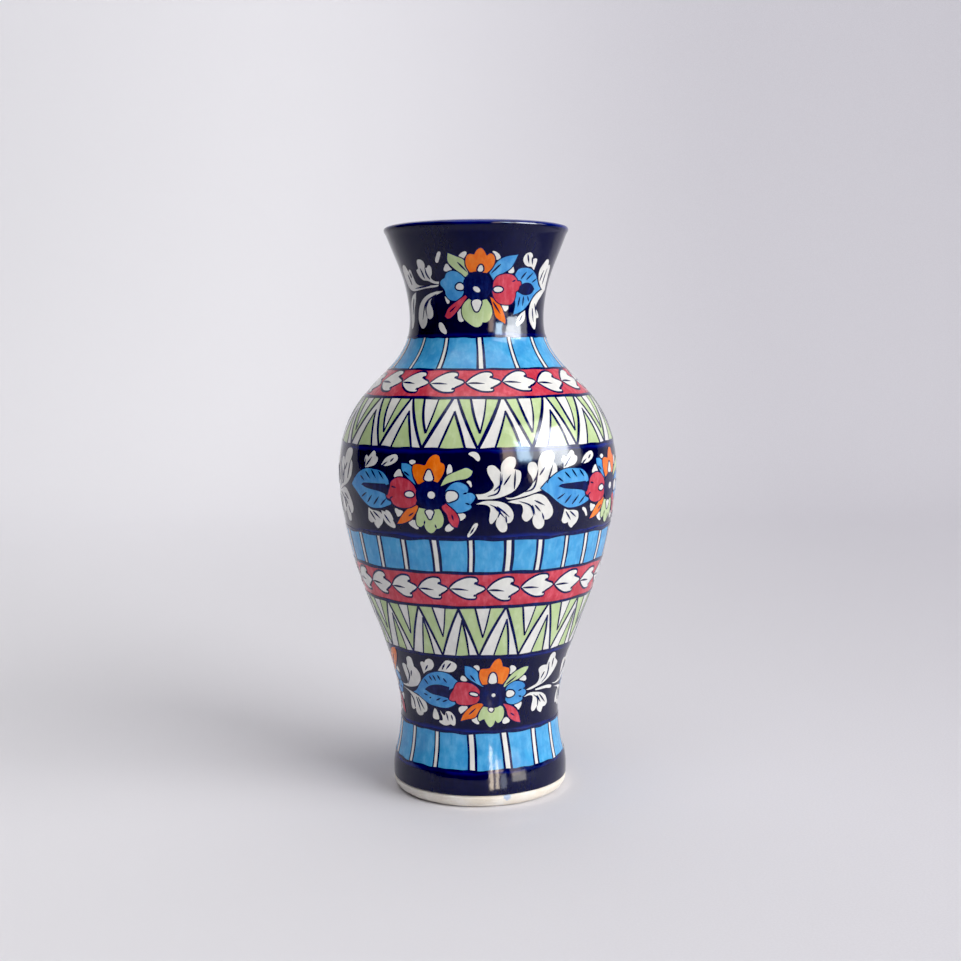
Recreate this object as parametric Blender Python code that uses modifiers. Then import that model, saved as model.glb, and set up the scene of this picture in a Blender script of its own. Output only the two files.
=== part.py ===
"""Baluster vase in glazed earthenware, about 300 mm tall.

The vase is one thrown clay body. A clear-white glaze lines the inside, and the
outside is coated in eleven rings of coloured glaze, one above the other. Each
coat is a thin skin that follows the clay, with a hair gap behind and between.
The origin is the centre of the foot, on the surface that the vase stands on.
"""
import math

import bpy
import numpy as np

MM = 0.001

# Driving dimensions, in millimetres.
WALL = 6.5             # clay with both its glaze coats
GLAZE = 0.6            # thickness of one glaze coat
GAP = 0.3              # clearance between a coat and the clay, or its neighbour
LIP_START = 295.6      # height where the outer wall turns into the round lip
FLOOR_HEIGHT = 11.0    # inside floor above the surface it stands on
FLOOR_FILLET = 14.0    # round between the inside wall and the inside floor
CLAY_RING = 6.9        # height of the bare clay ring at the foot
SHOULDER = 46.7        # largest radius of that ring, just under the glaze
FOOT_FACE = 42.8       # outer radius of the flat face under the foot ring
FOOT_INNER = 35.5      # inner radius of that flat face
RECESS = 3.2           # depth of the hollow under the foot
SEGMENTS = 36          # facets around the vase
FACET_HEIGHT = 12.0    # tallest facet of a glaze ring
INNER_FACETS = 15      # facets up the inside wall
LIP_TURNS = (150, 112, 75, 38)   # degrees round the lip where its facets meet

# The outer wall: (height, radius) pairs joined by a smooth curve.
WALL_STATIONS = (
    (6.9, 46.9), (14.0, 46.8), (24.0, 44.8), (34.0, 43.2), (46.0, 42.75),
    (54.0, 43.75), (74.0, 48.7), (98.0, 57.35), (125.0, 66.7), (152.0, 72.3),
    (178.0, 73.8), (198.0, 68.8), (214.0, 58.5), (230.0, 43.5), (241.0, 37.1),
    (252.0, 35.5), (263.0, 36.5), (274.0, 39.1), (286.0, 43.75), (298.5, 48.75),
)

# The glaze rings, from the foot up: name, lowest and highest point of each.
GLAZE_RINGS = (
    ("foot_cobalt_glaze", 6.9, 19.4),
    ("foot_sky_band", 19.4, 38.9),
    ("waist_cobalt_glaze", 38.9, 80.8),
    ("lower_green_band", 80.8, 107.9),
    ("lower_red_band", 107.9, 126.1),
    ("middle_sky_band", 126.1, 143.6),
    ("belly_cobalt_glaze", 143.6, 187.8),
    ("upper_green_band", 187.8, 212.3),
    ("upper_red_band", 212.3, 225.8),
    ("upper_sky_band", 225.8, 242.2),
    ("neck_cobalt_glaze", 242.2, LIP_START),
)

# Base colour and roughness of each finish.
FINISHES = {
    "clay": ((0.78, 0.71, 0.60), 0.62),
    "white": ((0.80, 0.79, 0.74), 0.16),
    "cobalt": ((0.004, 0.007, 0.050), 0.08),
    "sky": ((0.080, 0.330, 0.680), 0.12),
    "red": ((0.520, 0.045, 0.075), 0.12),
    "green": ((0.480, 0.640, 0.280), 0.12),
}


def smooth_curve(stations):
    """Natural cubic spline through (height, radius) pairs.

    Returns a function that gives the radius and the slope at a height.
    """
    heights, radii = (np.array(column) for column in zip(*stations))
    spans = np.diff(heights)
    rises = np.diff(radii) / spans
    inner = len(heights) - 2
    system = np.diag(2.0 * (spans[:-1] + spans[1:]))
    system += np.diag(spans[1:-1], 1) + np.diag(spans[1:-1], -1)
    bends = np.zeros(inner + 2)
    bends[1:-1] = np.linalg.solve(system, 6.0 * np.diff(rises))

    def at(height):
        i = int(np.clip(np.searchsorted(heights, height) - 1, 0, inner))
        span = spans[i]
        a = (heights[i + 1] - height) / span
        b = 1.0 - a
        radius = a * radii[i] + b * radii[i + 1]
        radius += ((a**3 - a) * bends[i] + (b**3 - b) * bends[i + 1]) * span**2 / 6.0
        slope = rises[i]
        slope += ((3 * b**2 - 1) * bends[i + 1] - (3 * a**2 - 1) * bends[i]) * span / 6.0
        return radius, slope

    return at


OUTER_WALL = smooth_curve(WALL_STATIONS)


def outside(height):
    """Point of the outer wall with its outward normal, as (r, z, nr, nz)."""
    radius, slope = OUTER_WALL(height)
    size = math.hypot(1.0, slope)
    return radius, height, 1.0 / size, -slope / size


def inside(height):
    """Point of the inner wall opposite outside(height), normal into the hollow."""
    r, z, nr, nz = outside(height)
    return r - WALL * nr, z - WALL * nz, -nr, -nz


def lip(turn):
    """Point of the round lip, turn degrees on from the outer wall."""
    r, z, nr, nz = outside(LIP_START)
    half = WALL / 2.0
    angle = math.atan2(nz, nr) + math.radians(turn)
    centre_r, centre_z = r - half * nr, z - half * nz
    across, up = math.cos(angle), math.sin(angle)
    return centre_r + half * across, centre_z + half * up, across, up


def sunk(point, depth):
    """A surface point moved into the wall by depth, as (r, z)."""
    r, z, nr, nz = point
    return r - depth * nr, z - depth * nz


def ring_heights(low, high):
    """Heights of a glaze ring's facets, with half a gap left at both ends."""
    count = max(2, math.ceil((high - low) / FACET_HEIGHT)) + 1
    return np.linspace(low + GAP / 2.0, high - GAP / 2.0, count)


def coat(points):
    """Closed profile of a glaze coat whose visible face holds the points.

    The points run so that the coat's body is on their right hand side.
    """
    face = [sunk(point, 0.0) for point in points]
    back = [sunk(point, GLAZE) for point in reversed(points)]
    return face + back


def floor_profile(depth):
    """Inside floor and its fillet, from the axis out, sunk by depth."""
    wall_r = inside(FLOOR_HEIGHT + FLOOR_FILLET)[0]
    centre_r = wall_r - FLOOR_FILLET
    centre_z = FLOOR_HEIGHT + FLOOR_FILLET
    reach = FLOOR_FILLET + depth
    arc = []
    for degrees in (0, 30, 60):
        angle = math.radians(degrees)
        arc.append((centre_r + reach * math.sin(angle), centre_z - reach * math.cos(angle)))
    return [(0.0, FLOOR_HEIGHT - depth)] + arc


def inner_heights():
    """Heights of the inner wall's facets, from just above the fillet to the lip."""
    bottom = FLOOR_HEIGHT + FLOOR_FILLET + 3.0
    return np.linspace(bottom, LIP_START, INNER_FACETS + 1)


def clay_profile():
    """Clay from the inside floor, up, over the lip, down and under the foot."""
    depth = GLAZE + GAP
    points = floor_profile(depth)
    points += [sunk(inside(height), depth) for height in inner_heights()]
    points += [sunk(lip(turn), depth) for turn in LIP_TURNS]
    for _, low, high in reversed(GLAZE_RINGS):
        heights = ring_heights(low, high)[::-1]
        points += [sunk(outside(height), depth) for height in heights[:-1]]
    points.append(sunk(outside(CLAY_RING - GAP), depth))
    points.append((SHOULDER, CLAY_RING - 2.0 * GAP))
    points += [(SHOULDER - 0.4, 3.6), (SHOULDER - 1.8, 1.2)]
    points += [(FOOT_FACE, 0.0), (FOOT_INNER, 0.0)]
    points += [(FOOT_INNER - 1.4, RECESS), (0.0, RECESS)]
    return points


def lining_profile():
    """White glaze from the lip down the inside and across the floor, and back."""
    edge = LIP_TURNS[0] + 8
    face = floor_profile(0.0)
    face += [sunk(inside(height), 0.0) for height in inner_heights()]
    face += [sunk(lip(turn), 0.0) for turn in (168, edge)]
    back = floor_profile(GLAZE)
    back += [sunk(inside(height), GLAZE) for height in inner_heights()]
    back += [sunk(lip(turn), GLAZE) for turn in (168, edge)]
    return face + back[::-1]


def ring_profile(low, high):
    """One glaze ring, its visible face running from top to bottom."""
    heights = ring_heights(low, high)[::-1]
    return coat([outside(height) for height in heights])


def neck_profile(low):
    """The neck's cobalt glaze: from over the lip down to the sky band."""
    over = [lip(turn) for turn in LIP_TURNS]
    heights = ring_heights(low, LIP_START)[::-1]
    return coat(over + [outside(height) for height in heights])


def finish(name):
    """Principled material for one finish."""
    colour, roughness = FINISHES[name]
    material = bpy.data.materials.new(name)
    material.use_nodes = True
    shader = material.node_tree.nodes["Principled BSDF"]
    shader.inputs["Base Color"].default_value = (*colour, 1.0)
    shader.inputs["Roughness"].default_value = roughness
    shader.inputs["Metallic"].default_value = 0.0
    return material


def turned(name, profile, material, collection, closed=True):
    """Turn a profile round the vertical axis into a named piece."""
    vertices = [(r * MM, 0.0, z * MM) for r, z in profile]
    edges = [(i, i + 1) for i in range(len(vertices) - 1)]
    if closed:
        edges.append((len(vertices) - 1, 0))
    mesh = bpy.data.meshes.new(name)
    mesh.from_pydata(vertices, edges, [])
    piece = bpy.data.objects.new(name, mesh)
    collection.objects.link(piece)
    piece.data.materials.append(material)
    screw = piece.modifiers.new("Turned", "SCREW")
    screw.axis = "Z"
    screw.angle = math.tau
    screw.steps = SEGMENTS
    screw.render_steps = SEGMENTS
    screw.use_merge_vertices = True
    screw.merge_threshold = 0.00005
    screw.use_smooth_shade = True
    return piece


def build():
    for item in list(bpy.data.objects):
        bpy.data.objects.remove(item)
    collection = bpy.data.collections.new("baluster_vase")
    bpy.context.scene.collection.children.link(collection)
    finishes = {name: finish(name) for name in FINISHES}
    turned("clay_body", clay_profile(), finishes["clay"], collection, closed=False)
    turned("inner_glaze", lining_profile(), finishes["white"], collection, closed=False)
    for name, low, high in GLAZE_RINGS:
        colour = name.split("_")[1]
        is_neck = name.startswith("neck")
        profile = neck_profile(low) if is_neck else ring_profile(low, high)
        turned(name, profile, finishes[colour], collection)


build()
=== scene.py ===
"""Looks of the hand-painted baluster vase: glaze, brushwork, light and camera."""

import math

import bpy
import numpy as np
from mathutils import Matrix, Vector
from mathutils.geometry import delaunay_2d_cdt


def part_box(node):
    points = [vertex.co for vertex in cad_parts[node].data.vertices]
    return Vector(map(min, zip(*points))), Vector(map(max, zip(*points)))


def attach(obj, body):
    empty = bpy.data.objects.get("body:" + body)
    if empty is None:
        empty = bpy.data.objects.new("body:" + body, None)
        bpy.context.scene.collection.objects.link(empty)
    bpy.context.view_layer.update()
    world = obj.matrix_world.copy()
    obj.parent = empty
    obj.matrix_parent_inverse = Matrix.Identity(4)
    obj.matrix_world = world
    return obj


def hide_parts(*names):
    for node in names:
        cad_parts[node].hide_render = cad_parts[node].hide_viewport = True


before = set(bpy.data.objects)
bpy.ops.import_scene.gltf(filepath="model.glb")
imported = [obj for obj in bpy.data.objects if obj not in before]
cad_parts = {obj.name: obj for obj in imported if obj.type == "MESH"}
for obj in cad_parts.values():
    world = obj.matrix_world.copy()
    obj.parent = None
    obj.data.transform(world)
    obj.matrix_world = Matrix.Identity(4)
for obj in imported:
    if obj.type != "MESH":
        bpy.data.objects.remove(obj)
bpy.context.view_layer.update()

MM = 0.001
HALF_GAP = 0.15        # the CAD leaves this much at each end of a glaze ring

# The thrown wall, as the part has it: (height, radius) in millimetres.
WALL_STATIONS = (
    (6.9, 46.9), (14.0, 46.8), (24.0, 44.8), (34.0, 43.2), (46.0, 42.75),
    (54.0, 43.75), (74.0, 48.7), (98.0, 57.35), (125.0, 66.7), (152.0, 72.3),
    (178.0, 73.8), (198.0, 68.8), (214.0, 58.5), (230.0, 43.5), (241.0, 37.1),
    (252.0, 35.5), (263.0, 36.5), (274.0, 39.1), (286.0, 43.75), (298.5, 48.75),
)
WALL = 6.5             # clay with both its glaze coats
GLAZE = 0.6            # thickness of one glaze coat
LIP_START = 295.6      # height where the outer wall turns into the round lip
LIP_CORNER = 0.33      # how far the lip is pulled out of round at its outer edge
LIP_CORNER_TURN = 45.0      # degrees round the lip where that pull is strongest
LIP_CORNER_SPREAD = 26.0    # degrees over which it fades on either side
LIP_FROM = 5           # degrees round the lip where its first point lies
LIP_TURN = 154         # degrees of the lip that the cobalt glaze covers
LIP_POINTS = 24        # points from the one to the other
LINING_TURNS = (174, 167, 160, LIP_TURN)    # the white lining's way up to the cobalt
CLAY_LIP_TURNS = range(170, 10, -20)        # the clay's way over the lip
FLOOR_HEIGHT = 11.0    # inside floor
FLOOR_FILLET = 14.0    # round between the inside wall and the inside floor
FILLET_TURNS = range(0, 80, 9)      # degrees round that fillet
CLAY_GAP = 0.05        # the clay lies this far under its glaze
# Foot ring from its widest point down, across and up into the recess: (radius, height)
FOOT_RING = (
    (46.75, 5.2), (46.6, 3.9), (46.2, 2.7), (45.5, 1.7), (44.6, 0.9), (43.6, 0.3),
    (42.8, 0.0), (36.2, 0.0), (35.6, 0.4), (35.0, 1.6), (34.2, 2.9), (33.2, 3.2), (0.0, 3.2),
)
SEGMENTS = 240         # facets round a turned piece
STEP = 2.0             # height of a facet outside
INNER_STEP = 4.0       # height of a facet inside
CLAY_STEP = 8.0        # height of a facet where glaze hides the clay
MERGE = 0.00003        # metres, points of a turned piece nearer than this are one
GLAZE_CREASE = 50      # degrees, edges of a glaze coat that turn more stay sharp
CLAY_CREASE = 60       # degrees, the same for the clay
OUTWARD = 0.8          # a face is an outer one when it looks this much along the wall's normal

# Paint lies in films this far above each other, in millimetres.
FILM = 0.05
FILM_START = 0.01      # height of layer 0 above the glaze
LINE_LAP = 0.15        # how far an outline runs in under its colour
RIM = 0.03             # how far a film's edge turns down into the glaze
RAY = 0.3              # metres, longer than from the axis to any wall
BAND_RADIUS = 60.0     # radius at which the narrow bands are unrolled


def band(node):
    """Lowest and highest point of a glaze ring, in millimetres, gaps closed."""
    low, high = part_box(node)
    return low[2] / MM - HALF_GAP, high[2] / MM + HALF_GAP


# ---------------------------------------------------------------- wall curve

def smooth_curve(stations):
    """Natural cubic spline: a function giving radius and slope at heights."""
    heights, radii = (np.array(column) for column in zip(*stations))
    spans = np.diff(heights)
    rises = np.diff(radii) / spans
    inner = len(heights) - 2
    system = np.diag(2.0 * (spans[:-1] + spans[1:]))
    system += np.diag(spans[1:-1], 1) + np.diag(spans[1:-1], -1)
    bends = np.zeros(inner + 2)
    bends[1:-1] = np.linalg.solve(system, 6.0 * np.diff(rises))

    def at(height):
        height = np.asarray(height, float)
        i = np.clip(np.searchsorted(heights, height) - 1, 0, inner)
        span = spans[i]
        a = (heights[i + 1] - height) / span
        b = 1.0 - a
        radius = a * radii[i] + b * radii[i + 1]
        radius = radius + ((a**3 - a) * bends[i] + (b**3 - b) * bends[i + 1]) * span**2 / 6.0
        slope = ((3 * b**2 - 1) * bends[i + 1] - (3 * a**2 - 1) * bends[i]) * span / 6.0
        return radius, rises[i] + slope

    return at


OUTER_WALL = smooth_curve(WALL_STATIONS)


def outside(height):
    """Point of the outer wall with its outward normal, as (r, z, nr, nz)."""
    radius, slope = (float(value) for value in OUTER_WALL(height))
    size = math.hypot(1.0, slope)
    return radius, height, 1.0 / size, -slope / size


def inside(height):
    """Point of the inner wall opposite outside(height), normal into the hollow."""
    r, z, nr, nz = outside(height)
    return r - WALL * nr, z - WALL * nz, -nr, -nz


def lip(turn):
    """Point of the round lip, turn degrees on from the outer wall."""
    r, z, nr, nz = outside(LIP_START)
    half = WALL / 2.0
    pull = math.exp(-(((turn - LIP_CORNER_TURN) / LIP_CORNER_SPREAD) ** 2))
    reach = half * (1.0 + LIP_CORNER * pull)
    angle = math.atan2(nz, nr) + math.radians(turn)
    across, up = math.cos(angle), math.sin(angle)
    return r - half * nr + reach * across, z - half * nz + reach * up, across, up


def sunk(point, depth):
    """A surface point moved into the wall by depth, as (r, z)."""
    r, z, nr, nz = point
    return r - depth * nr, z - depth * nz


def steps(low, high, step=STEP):
    """Evenly spaced heights from low to high, about step apart."""
    return np.linspace(low, high, max(2, math.ceil((high - low) / step)) + 1)


# ------------------------------------------------------------- turned pieces

def turned(name, profile, closed=True):
    """Turn a profile round the vertical axis into a plain mesh object."""
    vertices = [(r * MM, 0.0, z * MM) for r, z in profile]
    edges = [(i, i + 1) for i in range(len(vertices) - 1)]
    if closed:
        edges.append((len(vertices) - 1, 0))
    mesh = bpy.data.meshes.new(name)
    mesh.from_pydata(vertices, edges, [])
    raw = bpy.data.objects.new(name + "_profile", mesh)
    bpy.context.scene.collection.objects.link(raw)
    screw = raw.modifiers.new("Turned", "SCREW")
    screw.axis = "Z"
    screw.angle = math.tau
    screw.steps = SEGMENTS
    screw.render_steps = SEGMENTS
    screw.use_merge_vertices = True
    screw.merge_threshold = MERGE
    return plain(raw, name)


def plain(raw, name):
    """Plain mesh object of what a raw object's modifiers make, in place of the raw one."""
    graph = bpy.context.evaluated_depsgraph_get()
    mesh = bpy.data.meshes.new_from_object(raw.evaluated_get(graph), depsgraph=graph)
    bpy.data.objects.remove(raw)
    mesh.name = name
    mesh.shade_smooth()
    piece = bpy.data.objects.new(name, mesh)
    bpy.context.scene.collection.objects.link(piece)
    return piece


def wall_normals(mesh):
    """Normals of the thrown wall at a mesh's vertices, as rows."""
    places = np.empty(len(mesh.vertices) * 3, np.float32)
    mesh.vertices.foreach_get("co", places)
    x, y, z = places.reshape(-1, 3).T.astype(float)
    slope = OUTER_WALL(z / MM)[1]
    radius = np.hypot(x, y)
    radius[radius == 0.0] = 1.0
    size = np.hypot(1.0, slope)
    return np.stack([x / radius / size, y / radius / size, -slope / size], 1)


def follow_wall(piece):
    """Give a piece's outer faces the wall's own normals, so that reflections run on.

    Faces that don't look outwards keep their flat normals.
    """
    mesh = piece.data
    normals = wall_normals(mesh)
    corners = np.empty(len(mesh.loops), np.int32)
    mesh.loops.foreach_get("vertex_index", corners)
    chosen = normals[corners]
    totals = np.empty(len(mesh.polygons), np.int32)
    mesh.polygons.foreach_get("loop_total", totals)
    flat = np.empty(len(mesh.polygons) * 3, np.float32)
    mesh.polygons.foreach_get("normal", flat)
    own = np.repeat(flat.reshape(-1, 3), totals, axis=0)
    outward = (own * chosen).sum(1) > OUTWARD
    chosen = np.where(outward[:, None], chosen, own)
    mesh.normals_split_custom_set(chosen.tolist())


def glaze_ring(node, paint):
    """Smooth glaze coat that stands for one CAD ring below the lip."""
    low, high = band(node)
    points = [outside(height) for height in steps(low, high)[::-1]]
    face = [sunk(point, 0.0) for point in points]
    back = [sunk(point, GLAZE) for point in points[::-1]]
    ring = turned(node.replace("_glaze", "_coat") + "_fine", face + back)
    follow_wall(ring)
    finish_piece(ring, paint, node)


def neck_ring(node, paint):
    """Cobalt coat of the neck, which runs up and over the lip."""
    low, _ = band(node)
    points = [lip(turn) for turn in np.linspace(LIP_TURN, LIP_FROM, LIP_POINTS)]
    points += [outside(height) for height in steps(low, LIP_START)[::-1]]
    face = [sunk(point, 0.0) for point in points]
    back = [sunk(point, GLAZE) for point in points[::-1]]
    ring = turned("neck_cobalt_coat_fine", face + back)
    ring.data.set_sharp_from_angle(angle=math.radians(GLAZE_CREASE))
    finish_piece(ring, paint, node)


def floor_profile(depth):
    """Inside floor and its fillet, from the axis out, sunk by depth."""
    centre_z = FLOOR_HEIGHT + FLOOR_FILLET
    centre_r = inside(centre_z)[0] - FLOOR_FILLET
    reach = FLOOR_FILLET + depth
    turns = [math.radians(degrees) for degrees in FILLET_TURNS]
    arc = [(centre_r + reach * math.sin(t), centre_z - reach * math.cos(t)) for t in turns]
    return [(0.0, FLOOR_HEIGHT - depth)] + arc


def inner_wall(depth):
    """Inner wall from just above the fillet to the lip, sunk by depth."""
    heights = steps(FLOOR_HEIGHT + FLOOR_FILLET + STEP, LIP_START - 0.5, INNER_STEP)
    return [sunk(inside(height), depth) for height in heights]


def white_lining():
    """White glaze down the inside, from the lip to the floor."""
    edge = [lip(turn) for turn in LINING_TURNS]
    face = floor_profile(0.0) + inner_wall(0.0) + [sunk(point, 0.0) for point in edge]
    back = floor_profile(GLAZE) + inner_wall(GLAZE) + [sunk(point, GLAZE) for point in edge]
    lining = turned("white_lining_fine", face + back[::-1], closed=False)
    lining.data.set_sharp_from_angle(angle=math.radians(GLAZE_CREASE))
    finish_piece(lining, "lining", "inner_glaze")


def clay_wall():
    """Fired clay: hidden under the glaze, bare at the foot ring and beneath."""
    depth = GLAZE + CLAY_GAP
    low = band("foot_cobalt_glaze")[0]
    points = floor_profile(depth) + inner_wall(depth)
    points += [sunk(lip(turn), depth) for turn in CLAY_LIP_TURNS]
    points += [sunk(outside(h), depth) for h in steps(low - 0.4, LIP_START, CLAY_STEP)[::-1]]
    points += [(46.45, low - 0.45), (46.7, low - 0.8), *FOOT_RING]
    clay = turned("clay_wall_fine", points, closed=False)
    clay.data.set_sharp_from_angle(angle=math.radians(CLAY_CREASE))
    finish_piece(clay, "clay", "clay_body")


# ------------------------------------------------------------ flat brushwork

EASE_IN = 0.3          # share of a brush stroke over which it swells
EASE_OUT = 0.45        # share of it over which it thins out again
OVAL_POINTS = 28
FILLING = 1.7          # spacing of the points inside a film


def unit(vector):
    """A flat vector brought to length one."""
    return vector / max(np.hypot(*vector), 1e-9)


def flowing(points, directions_out, directions_in, spacing):
    """Smooth line through points: a Hermite span between each pair."""
    line = []
    for i in range(len(points) - 1):
        start, end = points[i], points[i + 1]
        reach = np.hypot(*(end - start))
        count = max(1, math.ceil(reach / spacing))
        t = (np.arange(count) / count)[:, None]
        line.append(start * (2 * t**3 - 3 * t**2 + 1) + end * (3 * t**2 - 2 * t**3)
                    + directions_out[i] * reach * (t**3 - 2 * t**2 + t)
                    + directions_in[i] * reach * (t**3 - t**2))
    return np.concatenate(line + [points[-1][None]])


def outline(points, spacing=0.6):
    """Closed outline through the points, smooth but at a point with a third value."""
    places = [np.array(point[:2], float) for point in points]
    count = len(places)
    leaving, arriving = [], []
    for i in range(count):
        after, before = places[(i + 1) % count], places[i - 1]
        through = unit(after - before)
        corner = len(points[i]) > 2
        leaving.append(unit(after - places[i]) if corner else through)
        arriving.append(unit(places[i] - before) if corner else through)
    loop = places + places[:1]
    line = flowing(loop, leaving, arriving[1:] + arriving[:1], spacing)[:-1]
    x, z = line.T
    area = (x * np.roll(z, -1) - z * np.roll(x, -1)).sum()
    return line if area > 0 else line[::-1]


def stroke(points, width, start=0.35, end=0.1, spacing=0.8):
    """Outline of a brush stroke whose width eases off at both ends."""
    places = [np.array(point, float) for point in points]
    last = len(places) - 1
    ways = [unit(places[min(i + 1, last)] - places[max(i - 1, 0)]) for i in range(last + 1)]
    line = flowing(places, ways, ways[1:], spacing)
    t = np.linspace(0.0, 1.0, len(line))
    swell = np.minimum(start + (1 - start) * np.minimum(t / EASE_IN, 1.0) ** 0.7,
                       end + (1 - end) * np.minimum((1 - t) / EASE_OUT, 1.0) ** 0.8)
    along = np.gradient(line, axis=0)
    along /= np.maximum(np.hypot(along[:, 0], along[:, 1]), 1e-9)[:, None]
    side = np.stack([along[:, 1], -along[:, 0]], 1) * (0.5 * width * swell)[:, None]
    return np.concatenate([line + side, (line - side)[::-1]])


def grown(shape, margin):
    """An outline moved outwards by margin: the ink that shows round a colour."""
    along = np.roll(shape, -1, axis=0) - np.roll(shape, 1, axis=0)
    along /= np.maximum(np.hypot(along[:, 0], along[:, 1]), 1e-9)[:, None]
    return shape + np.stack([along[:, 1], -along[:, 0]], 1) * margin


def oval(x, z, across, up, turn):
    """Oval outline round (x, z), turned by degrees."""
    t = np.arange(OVAL_POINTS) * math.tau / OVAL_POINTS
    c, s = math.cos(math.radians(turn)), math.sin(math.radians(turn))
    a, b = across * np.cos(t), up * np.sin(t)
    return np.stack([x + a * c - b * s, z + a * s + b * c], 1)


def within(points, shape):
    """Which points lie inside an outline."""
    x, z = points[:, 0][:, None], points[:, 1][:, None]
    x0, z0 = shape.T
    x1, z1 = np.roll(shape, -1, axis=0).T
    spans = (z0 > z) != (z1 > z)
    rise = np.where(z1 == z0, 1e-9, z1 - z0)
    return ((spans & (x < (x1 - x0) * (z - z0) / rise + x0)).sum(1) % 2) == 1


def filling(shape, spacing):
    """Points of an even grid that lie well inside an outline."""
    low, high = shape.min(0), shape.max(0)
    columns = np.arange(math.ceil(low[0] / spacing), math.floor(high[0] / spacing) + 1)
    rows = np.arange(math.ceil(low[1] / spacing), math.floor(high[1] / spacing) + 1)
    if not len(columns) or not len(rows):
        return np.empty((0, 2))
    x, z = np.meshgrid(columns * spacing, rows * spacing)
    x = x + (rows % 2)[:, None] * spacing / 2
    grid = np.stack([x.ravel(), z.ravel()], 1)
    grid = grid[within(grid, shape)]
    if not len(grid):
        return grid
    away = np.hypot(*(grid[:, None] - shape[None]).transpose(2, 0, 1)).min(1)
    return grid[away > 0.45 * spacing]


def film_mesh(name, films):
    """Flat mesh of painted films: x along the band, z up, lift off the wall.

    Each film is (outline, layer), or (outline, layer, width) for a line that
    runs round an outline. Its edge turns down into the glaze.
    """
    places, lifts, faces = [], [], []
    for shape, layer, *width in films:
        first = len(places)
        if width:
            count = len(shape)
            points = np.concatenate([grown(shape, width[0]), grown(shape, -LINE_LAP)])
            ahead = [(i + 1) % count for i in range(count)]
            cells = [[i, j, count + j, count + i] for i, j in enumerate(ahead)]
            border = list(enumerate(ahead))
        else:
            points = np.concatenate([shape, filling(shape, FILLING)])
            ring = list(range(len(shape)))
            flat, _, cells, *_ = delaunay_2d_cdt(points.tolist(), [], [ring], 1, 1e-7)
            points = np.array([tuple(p) for p in flat])
            border = border_edges(cells)
        places += [(x * MM, 0.0, z * MM) for x, z in points]
        lifts += [(FILM_START + FILM * layer) * MM] * len(points)
        faces += [[first + i for i in cell] for cell in cells]
        lows = {}
        for i, _ in border:
            lows[i] = len(places)
            places.append(places[first + i])
            lifts.append(-RIM * MM)
        faces += [[lows[i], lows[j], first + j, first + i] for i, j in border]
    mesh = bpy.data.meshes.new(name)
    mesh.from_pydata(places, [], faces)
    mesh.attributes.new("lift", "FLOAT", "POINT").data.foreach_set("value", lifts)
    return mesh


def border_edges(triangles):
    """Directed edges that only one triangle uses."""
    used = {(i, j) for corner in triangles for i, j in zip(corner, corner[1:] + corner[:1])}
    return [(i, j) for i, j in used if (j, i) not in used]


# ------------------------------------------------- painting round the wall

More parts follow.
